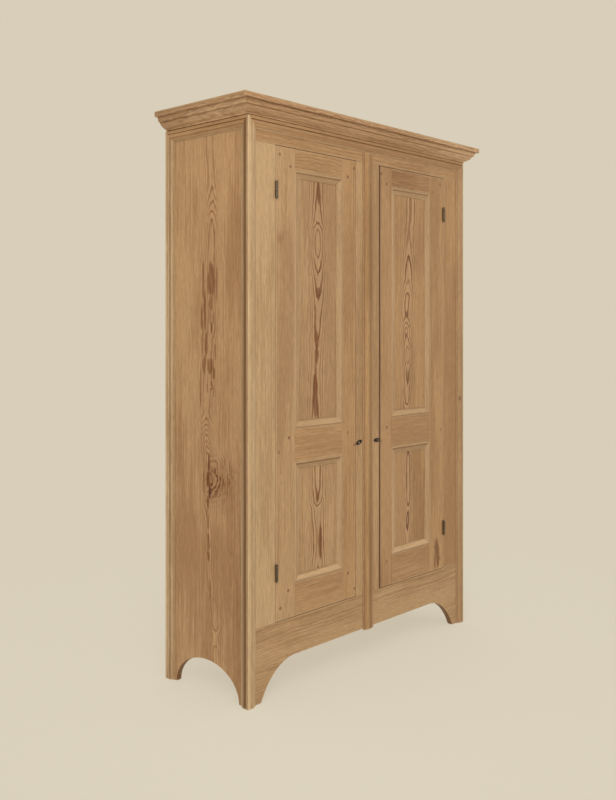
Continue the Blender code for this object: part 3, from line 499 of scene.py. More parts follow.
def pine_material(name, low, high, axes, how):
    material, s, shader, place = new_material(name)
    centre, half = (low + high) / 2, (high - low) / 2
    order = ["XYZ".index(axis) for axis in axes]
    seed, heart = how["seed"], how["heart"]
    if heart is None:
        heart = (centre[order[0]] + (HEART_ASIDE if seed % 2 < 1 else -HEART_ASIDE), low[order[1]])
    if how["frame_of"]:
        local = how["frame_of"](s, place)
    else:
        local = board_frame(s, place, axes, heart, how["flip"])
    along = s.separate(local)[2]
    depth, drift, squeeze = how["depth"], None, 1.0
    if how["figure"]:
        depth = along_board(s, along, [(at, n * how["spacing"]) for at, n in how["figure"]], BOARD_REACH)
    if how["drift"]:
        drift = along_board(s, along, how["drift"], BOARD_REACH, 0.5)
    if how["squeeze"]:
        squeeze = along_board(s, along, how["squeeze"], SQUEEZE_REACH)
    push, drawn, core = knot_bumps(s, local, axes, heart, how)
    rings = use_group(
        s, "growth_rings", Place=local, Heart_Depth=depth, Drift=drift, Push=push, Squeeze=squeeze, Seed=seed,
        **{label.capitalize(): how[label] for label in RINGS},
    )
    # Painted shade in hollows, gaps and on faces turned from the light
    if how["grime_of"]:
        grime = how["grime_of"](s, place)
    else:
        grime = grime_lines(s, how["distance"](s, place), how["grime"]) if how["grime"] else None
    light, dark, ring, red = (tone(*colour) for colour in how["tones"])
    closeness = s.math("MAXIMUM", rings["Closeness"], drawn)
    wood = use_group(
        s, "pine", Place=local, Line=rings["Line"], Closeness=closeness, Light=light, Dark=dark, Ring=ring,
        Heart=red, Plain_Contrast=how["contrast"][0], Heart_Contrast=how["contrast"][1], Pale=how["pale"],
        Core=core, Grime=grime, Wax=tone(*how["shade_tone"]), Seed=seed,
    )
    centred = s.vector("SUBTRACT", place, tuple(centre))
    wear = use_group(s, "edge_wear", Place=centred, Half_Size=tuple(half), Width=EDGE_WIDTH, Seed=seed)
    colour = s.blend(s.times(wear["Edge"], how["edge"]), wood["Colour"], ring)
    colour = s.blend(s.times(wear["Rubbed"], how["rubbed"]), colour, tone(*PALE[0]))
    s.fill(shader, Base_Color=colour, Roughness=wood["Roughness"], Specular_IOR_Level=how["gloss"])
    add_bump(s, shader, wood["Height"], how["relief"], GRAIN_DEPTH)
    return material


def dress(node, material):
    for slot in frame["nodes"][node].material_slots:
        slot.material = material


def dress_board(node, axes, wood, seed, **details):
    low, high = (Vector(corner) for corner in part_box(node))
    dress(node, pine_material(node.replace("_", " "), low, high, axes, grain(wood, seed, **details)))


# Boards

# Where the faces, edges and gaps that take painted shade stand in the room
HALF_WIDTH = 0.6555
FRONT = -0.200
BACK = 0.244
FRAME_FACE = -0.189
SIDE_FACE = 0.6445
TRIM_TOP = 2.0177
CROWN_BOTTOM = 2.018
SIDE_ARCH_TOP = 0.119
APRON_ARCH_TOP = 0.129
RIGHT_GAP = 0.0737
# What lies further behind a face than this is inside
SKIN = 0.001
# How dark the painted shade on the arches' sawn edges is
ARCH_DARK = 0.85

# Painted shade in the mouldings' hollows and on their faces turned from the light, as (distance across the
# moulding, width, darkness)
TRIM_SHADE = ((0.0150, 0.0032, 0.48), (0.0450, 0.0030, 0.30))
CORNER_FRONT_SHADE = ((0.0210, 0.0045, 0.30), (0.0400, 0.0050, 0.30))
SIDE_TRIM_SHADE = ((0.0145, 0.0016, 0.55), (0.0300, 0.0022, 0.45), (0.0440, 0.0045, 0.60))
CORNER_SIDE_SHADE = (
    (0.0030, 0.0050, 0.60), (0.0170, 0.0125, 0.95), (0.0310, 0.0100, 0.52), (0.0440, 0.0040, 0.40),
)
CROWN_SHADE = ((0.0260, 0.0014, 0.40), (0.0435, 0.0012, 0.30))
SIDE_CROWN_SHADE = ((0.0230, 0.0060, 0.32), (0.0360, 0.0070, 0.18), (0.0560, 0.0110, 0.56))
CENTRE_SHADE = ((-0.0290, 0.0065, 0.66), (0.0060, 0.0110, 0.52), (0.0320, 0.0030, 0.45))
REAR_SHADE = ((0.0180, 0.0040, 0.25), (0.0285, 0.0050, 0.60), (0.0425, 0.0060, 0.66))
PANEL_SHADE = {
    "left": ((0.0000, 0.0030, 0.35), (0.0090, 0.0030, 0.26), (0.0180, 0.0300, 0.17), (0.0275, 0.0015, 0.36)),
    "right": ((0.0000, 0.0055, 0.72), (0.0150, 0.0300, 0.26), (0.0270, 0.0012, 0.35)),
    "top": ((0.0080, 0.0045, 0.74), (0.0190, 0.0110, 0.32), (0.0140, 0.0300, 0.14), (0.0275, 0.0013, 0.50)),
    "bottom": ((0.0000, 0.0040, 0.90), (0.0250, 0.0030, 0.45)),
}


def corner_grime(s, place):
    """Painted shade by distance from the corner: faint on the front leg, broad on the shaded side leg."""
    x, y, _ = s.separate(place)[:3]
    across, back = s.minus(HALF_WIDTH, s.math("ABSOLUTE", x)), s.minus(y, FRONT)
    front, side = grime_lines(s, across, CORNER_FRONT_SHADE), grime_lines(s, back, CORNER_SIDE_SHADE)
    return s.between(s.math("GREATER_THAN", back, across), front, side)


def arch_shade(s, behind, height, top):
    """Painted shade on an arch's sawn edge, turned to the floor: behind the face and below the arch's top."""
    return s.times(s.math("GREATER_THAN", behind, SKIN), s.math("LESS_THAN", height, top), ARCH_DARK)


def side_arch(s, place):
    x, _, z = s.separate(place)[:3]
    return arch_shade(s, s.minus(SIDE_FACE, s.math("ABSOLUTE", x)), z, SIDE_ARCH_TOP)


def apron_arch(s, place):
    _, y, z = s.separate(place)[:3]
    return arch_shade(s, s.minus(y, FRAME_FACE), z, APRON_ARCH_TOP)


def from_back(s, place):
    return s.minus(BACK, s.separate(place)[1])


def from_trim_top(s, place):
    return s.minus(TRIM_TOP, s.separate(place)[2])


def above_crown_foot(s, place):
    return s.minus(s.separate(place)[2], CROWN_BOTTOM)


def from_middle(s, place):
    return s.separate(place)[0]


def from_right_gap(s, place):
    """Distance from the gap at the right doorway's inner edge, plus the depth behind the frame's face."""
    x, y, _ = s.separate(place)[:3]
    beside = s.math("ABSOLUTE", s.minus(x, RIGHT_GAP))
    return s.math("ADD", beside, s.math("MAXIMUM", s.minus(y, FRAME_FACE + SKIN), 0.0))


# Both sides of that gap: painted shade, and no wear, which would lighten it
GAP_SHADE = {
    "grime": ((0.0, 0.0046, 1.0),), "shade_tone": (62, 24, 2), "distance": from_right_gap, "edge": 0.0, "rubbed": 0.0
}

dress_board("front_stile_left", "XYZ", STRAW, 1.3, contrast=(0.22, 0.5))
dress_board("front_stile_right", "XYZ", AMBER, 2.6)
dress_board("centre_stile", "XYZ", HONEY, 3.7, **GAP_SHADE)
dress_board("centre_moulding", "XYZ", AMBER, 4.4, grime=CENTRE_SHADE, distance=from_middle)
dress_board("top_rail", "ZYX", RUSSET, 5.2, sway=0.03, spacing=0.011, contrast=(0.34, 0.5), wave=0.012)
dress_board(
    "apron", "ZYX", HONEY, 6.1, sway=0.03, spacing=0.009, contrast=(0.24, 0.5), wave=0.005,
    grime_of=apron_arch,
)
dress_board("centre_stop", "XYZ", RAW, 7.3)

dress_board("corner_moulding_left", "XYZ", CREAM, 10.3, grime_of=corner_grime, edge=0.0)
dress_board(
    "corner_moulding_right", "XYZ", BUFF, 11.3, grime_of=corner_grime, edge=0.0,
    knots=(
        ((0.6265, FRONT, 0.982), (0.012, 0.03, 0.016), 0.008, 0.9),
        ((0.6015, FRONT, 0.695), (0.014, 0.03, 0.016), 0.008, 0.9),
    ),
)
dress_board("top_moulding_front", "ZYX", TAN, 15.2, grime=TRIM_SHADE, distance=from_trim_top)
for side, rear_seed, top_seed in (("left", 12.3, 16.4), ("right", 13.3, 17.1)):
    dress_board(f"rear_moulding_{side}", "XYZ", PALE, rear_seed, grime=REAR_SHADE, distance=from_back)
    dress_board(
        f"top_moulding_{side}", "ZXY", RUSSET, top_seed, grime=SIDE_TRIM_SHADE, distance=from_trim_top
    )

CROWNS = (
    ("crown_front", "ZYX", CROWN_SHADE),
    ("crown_left", "ZXY", SIDE_CROWN_SHADE),
    ("crown_right", "ZXY", SIDE_CROWN_SHADE),
)
for seed, (name, axes, grime) in enumerate(CROWNS):
    dress_board(
        name, axes, CROWN, 18.5 + seed, spacing=0.0115, contrast=(0.85, 0.9), sway=0.05, bend=0.016,
        tear=0.0100, wave=0.030, unevenness=0.8, grime=grime, distance=above_crown_foot, edge=0.10,
    )

# The side boards' figure as (height, rings from the heart), their heart's drift, and their squeeze
SIDE_FIGURE = [
    (0.000, 7.05), (0.120, 7.10), (0.160, 7.30), (0.174, 7.68), (0.188, 8.02), (0.204, 8.10),
    (0.220, 7.92), (0.236, 7.45), (0.255, 7.20), (0.300, 7.05), (0.360, 7.15), (0.420, 7.35),
    (0.520, 7.10), (0.600, 7.25), (0.630, 7.15), (0.643, 6.95), (0.674, 5.95), (0.702, 4.95),
    (0.729, 3.95), (0.750, 3.30), (0.800, 3.10), (0.835, 3.35), (0.853, 3.95), (0.874, 4.95),
    (0.895, 5.95), (0.916, 6.95), (0.936, 7.95), (0.954, 8.95), (0.976, 9.95), (1.000, 10.30),
    (1.100, 10.15), (1.200, 10.25), (1.300, 10.10), (1.450, 10.20), (1.550, 10.10), (1.620, 10.25),
    (1.655, 10.45), (1.684, 10.95), (1.710, 11.95), (1.744, 12.95), (1.786, 13.95), (1.800, 14.10),
    (1.850, 14.30), (1.930, 14.20), (2.018, 14.45),
]
SIDE_DRIFT = [
    (0.000, -0.030), (0.270, -0.020), (0.390, 0.002), (0.483, 0.014), (0.580, 0.015), (0.643, 0.025),
    (0.770, 0.012), (0.850, 0.019), (0.950, 0.027), (1.160, 0.017), (1.235, 0.012), (1.324, -0.004),
    (1.465, 0.001), (1.700, -0.005), (1.900, 0.006), (2.018, 0.010),
]
SIDE_SQUEEZE = [
    (0.000, 1.0), (0.500, 1.0), (0.680, 1.2), (0.850, 1.0), (1.500, 1.0), (1.680, 1.15), (2.018, 1.2),
]
# Resin patches and split grain: (across from the heart, height, half width, half height, darkness)
SIDE_PATCHES = (
    (0.0010, 1.465, 0.0235, 0.072, 0.95), (0.0010, 1.380, 0.0135, 0.038, 0.85),
    (0.0345, 1.372, 0.0075, 0.070, 0.90), (0.0425, 1.460, 0.0065, 0.085, 0.85),
    (-0.028, 1.450, 0.0062, 0.075, 0.70), (0.0500, 1.330, 0.0066, 0.055, 0.90),
    (0.0315, 1.320, 0.0064, 0.042, 0.90), (0.0046, 1.330, 0.0050, 0.030, 0.90),
    (-0.012, 1.328, 0.0048, 0.026, 0.80), (-0.002, 1.292, 0.0070, 0.024, 1.05),
    (0.0437, 1.290, 0.0058, 0.042, 0.75), (0.0254, 1.236, 0.0105, 0.048, 0.95),
    (0.0475, 1.235, 0.0056, 0.050, 0.75), (-0.022, 1.205, 0.0056, 0.035, 0.75),
    (0.0372, 1.163, 0.0100, 0.036, 0.85), (0.0060, 1.158, 0.0210, 0.034, 0.85),
    (-0.014, 1.132, 0.0085, 0.026, 0.90), (0.0560, 1.075, 0.0056, 0.085, 0.75),
    (0.0125, 0.808, 0.0062, 0.040, 1.55), (0.0157, 0.757, 0.0115, 0.032, 1.45),
    (0.0078, 0.716, 0.0070, 0.032, 1.70), (0.0400, 0.745, 0.0060, 0.050, 0.80),
    (0.0168, 0.677, 0.0060, 0.026, 1.00), (0.0152, 0.600, 0.0056, 0.034, 0.85),
    (0.0152, 0.552, 0.0056, 0.026, 0.85), (0.0142, 0.483, 0.0060, 0.024, 1.10),
    (0.0040, 0.375, 0.0056, 0.040, 0.70),
)
for side, seed, flip, heart, face in (("left", 22.7, 1.0, 0.0, 0), ("right", 24.9, -1.0, 0.025, 1)):
    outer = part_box(f"side_board_{side}")[face][0]
    dress_board(
        f"side_board_{side}", "YXZ", SIDE, seed, heart=(heart, outer), flip=flip, spacing=0.0052,
        figure=SIDE_FIGURE, drift=SIDE_DRIFT, squeeze=SIDE_SQUEEZE, contrast=(0.14, 0.80), sway=0.0,
        bend=0.005, reach=0.030, unevenness=0.35, tear=0.0052, wave=0.004, late=0.42, grime_of=side_arch,
        knots=(
            ((outer, heart - 0.160, 0.450), (0.13, 1.0, 0.90), 0.0, 0.32),
            ((outer, heart - 0.190, 1.500), (0.16, 1.0, 1.20), 0.0, 0.16),
            ((outer, heart + 0.005, 1.280), (0.12, 1.0, 1.20), 0.0, 0.22),
            ((outer, heart - 0.050, 0.745), (0.15, 1.0, 0.14), 0.0, 0.30),
        ),
        whorls=(
            ((outer, heart + 0.010, 0.760), (0.150, 0.1, 0.095), 0.0165, 1.30),
            ((outer, heart + 0.004, 1.085), (0.045, 0.1, 0.050), 0.0150, 0.90),
        ),
        patches=[((outer, heart + y, z), (wide, 0.1, tall), dark) for y, z, wide, tall, dark in SIDE_PATCHES],
    )

# Each panel: its wood, its rings' contrast away from the heart, its squeeze, its figure as above, the path of
# its heart as (height, across from the wardrobe's middle), and its resin patches as (across from the
# wardrobe's middle, height, half width, half height, darkness)
PANELS = {
    "left_door_upper_panel": (
        HONEY, 0.28, 1.0,
        [(0.933, 10.10), (0.970, 10.30), (0.990, 10.42), (1.030, 10.62), (1.080, 10.75), (1.130, 10.92),
         (1.145, 10.96), (1.160, 10.93), (1.200, 10.82), (1.250, 10.72), (1.285, 10.50), (1.320, 10.40),
         (1.360, 10.20), (1.389, 9.96), (1.410, 9.75), (1.432, 9.52), (1.455, 9.30), (1.487, 8.85),
         (1.520, 8.35), (1.553, 7.85), (1.570, 7.55), (1.600, 7.30), (1.630, 7.40), (1.655, 7.85),
         (1.680, 8.85), (1.700, 9.15), (1.730, 9.45), (1.760, 9.66), (1.800, 9.80), (1.840, 9.95),
         (1.856, 10.10)],
        [(0.933, -0.2960), (1.050, -0.2965), (1.220, -0.2885), (1.410, -0.2785), (1.600, -0.2825),
         (1.856, -0.2800)],
        [(-0.278, 1.790, 0.013, 0.045, 0.80), (-0.280, 1.420, 0.018, 0.022, 0.90),
         (-0.288, 1.245, 0.015, 0.042, 0.85), (-0.290, 1.190, 0.014, 0.040, 0.85),
         (-0.296, 1.070, 0.013, 0.060, 0.95), (-0.294, 1.000, 0.015, 0.045, 0.85)],
    ),
    "left_door_lower_panel": (
        HONEY, 0.28, 1.0,
        [(0.381, 9.90), (0.410, 10.00), (0.440, 10.20), (0.462, 10.45), (0.480, 10.60), (0.500, 10.70),
         (0.540, 10.60), (0.570, 10.45), (0.600, 10.25), (0.625, 10.10), (0.636, 9.90), (0.652, 8.96),
         (0.670, 8.75), (0.700, 8.50), (0.740, 8.40), (0.812, 8.30)],
        [(0.381, -0.2795), (0.500, -0.2775), (0.650, -0.2835), (0.812, -0.2835)],
        [(-0.284, 0.665, 0.010, 0.020, 0.60), (-0.268, 0.500, 0.012, 0.070, 1.00)],
    ),
    "right_door_upper_panel": (
        AMBER, 0.42, 1.0,
        [(0.933, 8.30), (0.965, 8.10), (0.975, 7.94), (0.985, 7.60), (1.000, 7.42), (1.030, 7.30),
         (1.060, 7.03), (1.066, 6.93), (1.085, 6.80), (1.110, 6.60), (1.130, 6.30), (1.144, 5.93),
         (1.155, 5.60), (1.170, 5.30), (1.195, 5.45), (1.220, 5.95), (1.245, 6.45), (1.261, 6.78),
         (1.280, 6.55), (1.293, 6.95), (1.305, 7.50), (1.316, 7.95), (1.330, 8.50), (1.343, 8.80),
         (1.375, 8.55), (1.400, 8.45), (1.425, 8.60), (1.437, 8.92), (1.465, 9.40), (1.480, 9.80),
         (1.490, 9.94), (1.530, 10.20), (1.560, 10.50), (1.575, 10.75), (1.591, 10.95), (1.620, 11.40),
         (1.660, 11.70), (1.700, 11.85), (1.730, 11.90), (1.820, 11.90), (1.856, 11.80)],
        [(0.933, 0.2625), (1.080, 0.2695), (1.170, 0.2715), (1.260, 0.2635), (1.340, 0.2625),
         (1.480, 0.2745), (1.690, 0.2815), (1.730, 0.2885), (1.856, 0.2945)],
        [(0.268, 1.345, 0.013, 0.018, 0.45), (0.270, 1.090, 0.014, 0.030, 0.45)],
    ),
    "right_door_lower_panel": (
        RUSSET, 0.42, 1.5,
        [(0.381, 12.60), (0.425, 12.35), (0.455, 12.10), (0.475, 11.90), (0.490, 11.72), (0.520, 11.68),
         (0.535, 11.90), (0.548, 12.05), (0.560, 11.90), (0.575, 11.60), (0.600, 11.36), (0.680, 11.28),
         (0.740, 11.36), (0.770, 11.60), (0.795, 11.90), (0.812, 12.00)],
        [(0.381, 0.2715), (0.470, 0.2675), (0.560, 0.2755), (0.812, 0.2745)],
        [],
    ),
}
for seed, (name, (wood, plain, squeeze, figure, path, patches)) in enumerate(PANELS.items()):
    low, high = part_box(name)
    middle = (low[0] + high[0]) / 2
    dress_board(
        name, "XYZ", wood, 30.4 + seed, heart=(middle, low[1]), figure=figure, spacing=0.0057,
        drift=[(at, x - middle) for at, x in path], squeeze=[(0.3, squeeze), (1.9, squeeze)],
        contrast=(plain, 1.15), sway=0.0, bend=0.003, reach=0.044, unevenness=0.5, tear=0.0040, wave=0.002,
        late=0.44, pale=0.22,
        patches=[((x, low[1], z), (wide, 0.1, tall), dark) for x, z, wide, tall, dark in patches],
    )

# Each door: the woods of its hinge stile, lock stile and top rail, then what is special to the two stiles
DOOR_FRAMES = {
    "left": (
        HONEY, AMBER, RUSSET,
        {"knots": (((-0.4895, FRONT, 1.607), (0.030, 0.03, 0.040), 0.010, 0.60),)},
        {"edge": 0.55},
    ),
    "right": (
        AMBER, RUSSET, DEEP,
        {"knots": (((0.4645, FRONT, 0.333), (0.030, 0.03, 0.080), 0.026, 0.80),), "patches": (
            ((0.4600, FRONT, 0.345), (0.0110, 0.1, 0.055), 0.85),
            ((0.4740, FRONT, 0.325), (0.0105, 0.1, 0.065), 1.00),
            ((0.4520, FRONT, 0.300), (0.0095, 0.1, 0.040), 0.75),
        )},
        GAP_SHADE,
    ),
}
TOP_RAIL = {"spacing": 0.012, "contrast": (0.44, 0.5), "wave": 0.024}
for seed, (side, made_of) in enumerate(DOOR_FRAMES.items()):
    hinge_wood, lock_wood, top_wood, hinge_marks, lock_marks = made_of
    dress_board(f"{side}_door_hinge_stile", "XYZ", hinge_wood, 40.2 + seed, **hinge_marks)
    dress_board(f"{side}_door_lock_stile", "XYZ", lock_wood, 43.1 + seed, **lock_marks)
    rails = (("top", top_wood, TOP_RAIL), ("middle", TAN, {}), ("bottom", TAN, {}))
    for step, (rail, wood, bands) in enumerate(rails):
        dress_board(f"{side}_door_{rail}_rail", "ZYX", wood, 46.3 + 3 * seed + step, sway=0.02, **bands)


def ring_frame(low, high):
    """The board frame of a moulding mitred round a panel: along Z in its uprights, along X in its rails."""
    centre, half = (low + high) / 2, (high - low) / 2

    def frame_of(s, place):
        x, _, z = s.separate(s.vector("ABSOLUTE", s.vector("SUBTRACT", place, tuple(centre))))[:3]
        upright = s.math("LESS_THAN", s.minus(half.x, x), s.minus(half.z, z))
        standing = board_frame(s, place, "XYZ", (centre.x - MOULDING_HEART_ASIDE, low.y))
        lying = board_frame(s, place, "ZYX", (centre.z - MOULDING_HEART_ASIDE, low.y))
        return s.node("ShaderNodeMix", {0: upright, 4: lying, 5: standing}, data_type="VECTOR").outputs[1]

    def grime_of(s, place):
        """Painted shade in the hollows and on the sides turned from the light, member by member."""
        x, _, z = s.separate(s.vector("SUBTRACT", place, tuple(centre)))[:3]
        across = s.minus(half.x, s.math("ABSOLUTE", x))
        down = s.minus(half.z, s.math("ABSOLUTE", z))
        left, right = (grime_lines(s, across, PANEL_SHADE[side]) for side in ("left", "right"))
        top, bottom = (grime_lines(s, down, PANEL_SHADE[side]) for side in ("top", "bottom"))
        standing = s.between(s.math("GREATER_THAN", x, 0.0), left, right)
        lying = s.between(s.math("GREATER_THAN", z, 0.0), bottom, top)
        return s.between(s.math("LESS_THAN", across, down), lying, standing)

    return {"frame_of": frame_of, "grime_of": grime_of}


for seed, door in enumerate(("left_door", "right_door")):
    for step, place in enumerate(("upper", "lower")):
        name = f"{door}_{place}_panel_moulding"
        low, high = (Vector(corner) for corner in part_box(name))
        dress_board(name, "XYZ", BISCUIT, 60.4 + 2 * seed + step, edge=0.0, **ring_frame(low, high))

BARE = {"gloss": 0.22, "relief": 0.35}
# The back boards' heart lies this far in from each board's edge, behind the wardrobe
BACK_HEART_IN = 0.17
BACK_HEART_FACE = 0.3
for seed, name in enumerate(("back_board_1", "back_board_2", "back_board_3")):
    heart = (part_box(name)[0][0] + BACK_HEART_IN, BACK_HEART_FACE)
    dress_board(name, "XYZ", RAW, 70.2 + seed, heart=heart, depth=0.02, **BARE)
for seed, name in enumerate(("floor_board", "shelf", "top_board")):
    dress_board(name, "YZX", RAW, 75.2 + seed, **BARE)
dress_board("peg_rail", "ZYX", RAW, 79.2, **BARE)
CLEATS = ("floor_cleat_left", "floor_cleat_right", "shelf_cleat_left", "shelf_cleat_right")
for seed, name in enumerate(CLEATS):
    dress_board(name, "ZXY", RAW, 80.4 + seed, **BARE)


# Iron


def iron_material(name, seed, black, worn, rust):
    material, s, shader, place = new_material(name)
    look = use_group(
        s, "iron", Place=place, Black=tone(*black), Worn=tone(*worn), Rust=tone(*rust), Seed=seed
    )
    s.fill(shader, Base_Color=look["Colour"], Roughness=look["Roughness"], Metallic=0.75)
    add_bump(s, shader, look["Height"], 0.4, PIT_DEPTH)
    return material


HINGE_IRON = iron_material("hinge iron", 1.0, (74, 64, 52), (140, 126, 104), (96, 68, 46))
BUTTON_IRON = iron_material("button iron", 4.0, (30, 25, 26), (66, 56, 52), (52, 36, 30))
# The screws' pale worn colour is partly wear on the heads and partly a painted highlight on them
SCREW_IRON = iron_material("screw iron", 7.0, (80, 72, 64), (170, 160, 146), (90, 66, 48))
for node in frame["nodes"]:
    if node.startswith("hinge_"):
        dress(node, HINGE_IRON)
    elif "button" in node:
        dress(node, BUTTON_IRON)


# Small pieces


def closed_faces(rings, sides, start=0):
    """Faces of a closed piece, whose points are its front pole, then its rings, then its back pole.

    Quads join each ring to the next, and triangles join the first and last ring to their pole.
    """
    ring, side = np.meshgrid(np.arange(rings - 1), np.arange(sides), indexing="ij")
    here, after = ring * sides + side, ring * sides + (side + 1) % sides
    quads = np.stack([here + sides, after + sides, after, here], axis=-1).reshape(-1, 4) + start + 1
    first = start + 1 + np.stack([np.arange(sides), (np.arange(sides) + 1) % sides])
    last = first + (rings - 1) * sides
    front_pole, back_pole = np.full(sides, start), np.full(sides, start + 1 + rings * sides)
    front_fan = np.stack([*first, front_pole], axis=-1)
    back_fan = np.stack([*last[::-1], back_pole], axis=-1)
    return quads.tolist() + front_fan.tolist() + back_fan.tolist()


def new_piece(name, points, faces, body, material, round_share=None):
    """One object at the origin, its points already in the room; round_share goes to its shader as a UV."""
    mesh = bpy.data.meshes.new(name)
    mesh.from_pydata(points.tolist(), [], faces)
    mesh.polygons.foreach_set("use_smooth", np.ones(len(faces), dtype=bool))
    if round_share is not None:
        corners = np.empty(len(mesh.loops), dtype=np.int32)
        mesh.loops.foreach_get("vertex_index", corners)
        layer = mesh.uv_layers.new(name="round")
        layer.uv.foreach_set("vector", np.repeat(round_share[corners], 2).astype(np.float32))
    mesh.materials.append(material)
    made = add_object(name, mesh)
    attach(made, body)
    return made


def dome(across, profile, sides):
    """Rings (share across_x cos u, -height, share across_z sin u), one for each (share, height) in profile.

    The first and the last have no share, so that each is one point, the front and the back pole.
    """
    turn = 2 * pi * np.arange(sides) / sides
    share, height = (np.array(column)[:, None] for column in zip(*profile))
    x, z = across[0] * share * np.cos(turn), across[1] * share * np.sin(turn)
    rings = np.stack([x, np.broadcast_to(-height, x.shape), z], axis=-1)
    return np.concatenate([rings[0, :1], rings[1:-1].reshape(-1, 3), rings[-1, :1]])


PEG_TONES = ((150, 108, 68), (126, 86, 52), (168, 128, 86), (88, 58, 34))


def peg_material():
    """End grain of a peg: a mottled tan middle, paler in places, and a dark joint round it."""
    material, s, shader, place = new_material("joint peg")
    out = s.separate(s.node("ShaderNodeUVMap", uv_map="round").outputs[0])[0]
    mottle = s.noise(place, (300, 300, 300), 3.0, 3.0)
    own = s.noise(place, (9, 9, 9), 8.0, 1.0)
    light, dark, pale, joint = (tone(*colour) for colour in PEG_TONES)
    colour = s.blend(s.step(mottle, 0.3, 0.7), light, dark)
    colour = s.blend(s.step(own, 0.4, 0.6, 0.0, 0.5), colour, pale)
    colour = s.blend(s.step(out, 0.70, 0.95, 0.0, 0.8), colour, joint)
    s.fill(shader, Base_Color=colour, Roughness=0.55)
    add_bump(s, shader, mottle, 0.3, PIT_DEPTH)
    return material


# The left door's peg ends, (across from the wardrobe's middle, height); the right door's mirror them
PEGS = (
    (-0.4905, 1.903), (-0.4365, 1.866), (-0.1205, 1.866), (-0.0850, 1.902), (-0.4445, 0.902),
    (-0.4955, 0.856), (-0.1205, 0.894), (-0.0825, 0.844), (-0.4475, 0.360), (-0.4885, 0.306),
    (-0.1205, 0.359), (-0.0825, 0.293),
)
PEG_RADIUS = 0.0060
# From the front pole out to the rim and in to the back pole, as (share of the radius, height)
PEG_PROFILE = ((0.0, 0.0005), (0.45, 0.00048), (0.8, 0.0003), (1.0, 0.0), (1.0, -0.0008), (0.0, -0.0008))


def door_pegs(side, mirrored, material):
    """Twelve low domes, one on each peg's place, as one piece."""
    sides, rings = 14, len(PEG_PROFILE) - 2
    places = np.array([(x * mirrored, FRAME_FACE, z) for x, z in PEGS])
    shape = dome((PEG_RADIUS, PEG_RADIUS), PEG_PROFILE, sides)
    points = (places[:, None, :] + shape[None]).reshape(-1, 3)
    faces = [face for i in range(len(places)) for face in closed_faces(rings, sides, i * len(shape))]
    share = np.tile(np.hypot(shape[:, 0], shape[:, 2]) / PEG_RADIUS, len(places))
    new_piece(f"{side}_door_pegs", points, faces, f"{side}_door", material, share)


PEG_WOOD = peg_material()
door_pegs("left", 1, PEG_WOOD)
door_pegs("right", -1, PEG_WOOD)

# Half the button's length and height, then where it lies on its screw
BUTTON_HALF = (0.0185, 0.008)
BUTTON_BACK = -0.1895
BUTTON_THICKNESS = 0.0030
BUTTON_AXIS = 0.058
BUTTON_HEIGHT = 0.850
BUTTON_OFF_CENTRE = 0.003
BUTTON_TILT = {"left": radians(17), "right": 0.0}
BUTTON_PROFILE = (
    (0.0, BUTTON_THICKNESS), (0.30, BUTTON_THICKNESS), (0.55, 0.0029), (0.75, 0.0026), (0.88, 0.0021),
    (0.96, 0.0014), (1.0, 0.0008), (0.985, 0.0002), (0.96, 0.0), (0.5, 0.0), (0.0, 0.0),
)


def turn_button(side, sign):
    """A cast iron oval, domed on its face, turned by its tilt about the screw."""
    sides = 56
    points = dome(BUTTON_HALF, BUTTON_PROFILE, sides) + (-sign * BUTTON_OFF_CENTRE, 0, 0)
    tilt = BUTTON_TILT[side]
    turn = np.array([[np.cos(tilt), 0, -np.sin(tilt)], [0, 1, 0], [np.sin(tilt), 0, np.cos(tilt)]])
    points = points @ turn.T + (sign * BUTTON_AXIS, BUTTON_BACK, BUTTON_HEIGHT)
    faces = closed_faces(len(BUTTON_PROFILE) - 2, sides)
    made = new_piece(f"{side}_turn_button_casting", points, faces, f"{side}_turn_button", BUTTON_IRON)
    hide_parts(f"{side}_button")


SCREW_RADIUS = 0.0042
SCREW_RISE = 0.0018
SCREW_RIM = 0.0002
SLOT_HALF = 0.00055
SLOT_SLOPE = 0.00015
SLOT_DEPTH = 0.0009
SLOT_FLOOR = 0.00012


def screw_head(side, sign, turned):
    """A round head, height = rise x (1 - share^2.4) + rim, less a slot with sloping sides cut across it."""
    rings, sides = 26, 96
    share = np.linspace(0, 1, rings)[:, None]
    turn = 2 * pi * np.arange(sides)[None] / sides
    x, z = share * np.cos(turn), share * np.sin(turn)
    rise = SCREW_RISE * (1 - share ** 2.4) + SCREW_RIM
    off_slot = np.abs(z * np.cos(turned) - x * np.sin(turned)) * SCREW_RADIUS
    height = rise - SLOT_DEPTH * np.clip((SLOT_HALF - off_slot) / SLOT_SLOPE, 0, 1)
    head = np.stack([x * SCREW_RADIUS, -np.maximum(height, SLOT_FLOOR), z * SCREW_RADIUS], axis=-1)
    skirt, back_pole = head[-1] * (1, 0, 1), np.zeros((1, 3))
    points = np.concatenate([head[0, :1], head[1:].reshape(-1, 3), skirt, back_pole])
    points = points + (sign * BUTTON_AXIS, BUTTON_BACK - BUTTON_THICKNESS, BUTTON_HEIGHT)
    faces = closed_faces(rings, sides)
    made = new_piece(f"{side}_button_screw_head", points, faces, "carcass", SCREW_IRON)
    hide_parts(f"{side}_button_screw")


for side, sign, turned in (("left", -1, 0.9), ("right", 1, 0.2)):
    turn_button(side, sign)
    screw_head(side, sign, turned)


# Studio

DAYLIGHT = (1.0, 0.98, 0.95)
SKY_STRENGTH = 0.74
FLOOR = (242, 237, 220)
LAMP_AIM = (0.0, 0.0, 1.0)
FLOOR_RADIUS = 7.0
# How much of the background shows through the floor: its least share as far as the first distance from the
# wardrobe's middle, and all of it from the second
FADE_LEAST = 0.76
FADE_FROM = 0.6
FADE_TO = 2.4


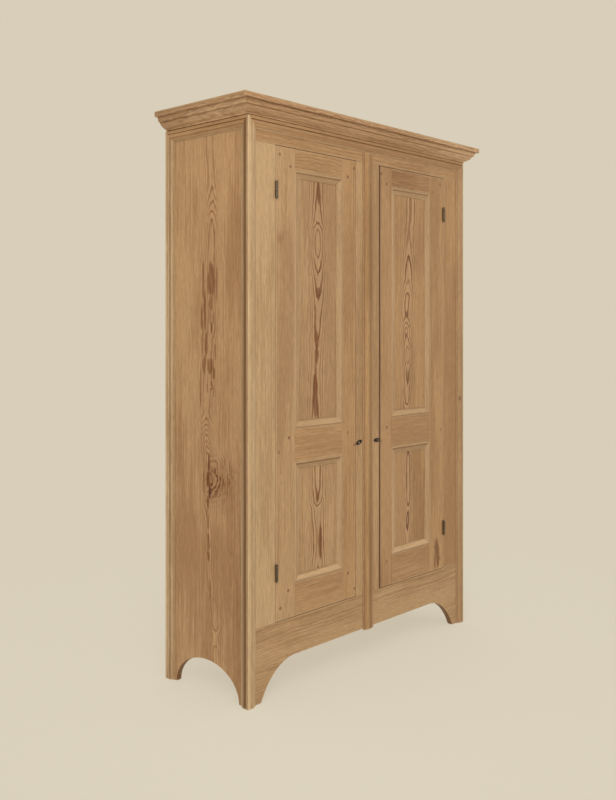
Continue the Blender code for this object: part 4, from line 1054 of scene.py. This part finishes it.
def floor():
    """A pale disc that fades into the background away from the wardrobe."""
    bpy.ops.mesh.primitive_circle_add(vertices=96, radius=FLOOR_RADIUS, fill_type="NGON", location=(0, 0, 0))
    disc = bpy.context.object
    disc.name = "studio_floor"
    material, s, shader, place = new_material("studio floor")
    s.fill(shader, Base_Color=tone(*FLOOR), Roughness=0.9, Specular_IOR_Level=0.1)
    fade = s.step(s.vector("LENGTH", place), FADE_FROM, FADE_TO, FADE_LEAST)
    clear = s.node("ShaderNodeBsdfTransparent")
    mixed = s.node("ShaderNodeMixShader", {0: fade, 1: shader.outputs[0], 2: clear.outputs[0]})
    s.fill(material.node_tree.nodes["Material Output"], Surface=mixed.outputs[0])
    disc.data.materials.append(material)


def lamp(name, power, size, place):
    """A square soft lamp, aimed at the middle of the wardrobe."""
    data = bpy.data.lights.new(name, "AREA")
    data.energy = power
    data.size = size
    data.color = DAYLIGHT
    made = add_object(name, data)
    made.location = place
    made.rotation_euler = (Vector(LAMP_AIM) - Vector(place)).to_track_quat("-Z", "Y").to_euler()


def world():
    """Even light all round, and a paper's cream where the camera or a reflection looks past the wardrobe."""
    made = bpy.data.worlds.new("studio")
    bpy.context.scene.world = made
    made.use_nodes = True
    s = Sketch(made.node_tree)
    made.node_tree.nodes.clear()
    rays = s.node("ShaderNodeLightPath").outputs
    seen = s.math("MAXIMUM", rays["Is Camera Ray"], rays["Is Glossy Ray"])
    seen = s.math("MAXIMUM", seen, rays["Is Transmission Ray"])
    light = s.node("ShaderNodeBackground", {"Color": (*DAYLIGHT, 1.0), "Strength": SKY_STRENGTH})
    paper = s.node("ShaderNodeBackground", {"Color": tone(*BACKGROUND), "Strength": 1.0})
    mixed = s.node("ShaderNodeMixShader", {0: seen, 1: light.outputs[0], 2: paper.outputs[0]})
    s.node("ShaderNodeOutputWorld", {"Surface": mixed.outputs[0]})


def camera():
    """The photograph's lens, level at its place, with HEADING degrees from +X to where it looks."""
    data = bpy.data.cameras.new("photograph")
    data.lens = LENS
    data.sensor_width = SENSOR
    data.shift_y = SHIFT_UP
    made = add_object("photograph", data)
    made.location = EYE
    made.rotation_euler = (pi / 2, 0, radians(HEADING - 90))
    bpy.context.scene.camera = made


floor()
world()
camera()
lamp("key", power=82, size=1.8, place=(-3.3, -2.8, 3.3))
lamp("fill", power=8, size=2.5, place=(2.8, -3.0, 1.8))
bpy.context.scene.view_settings.view_transform = "Standard"
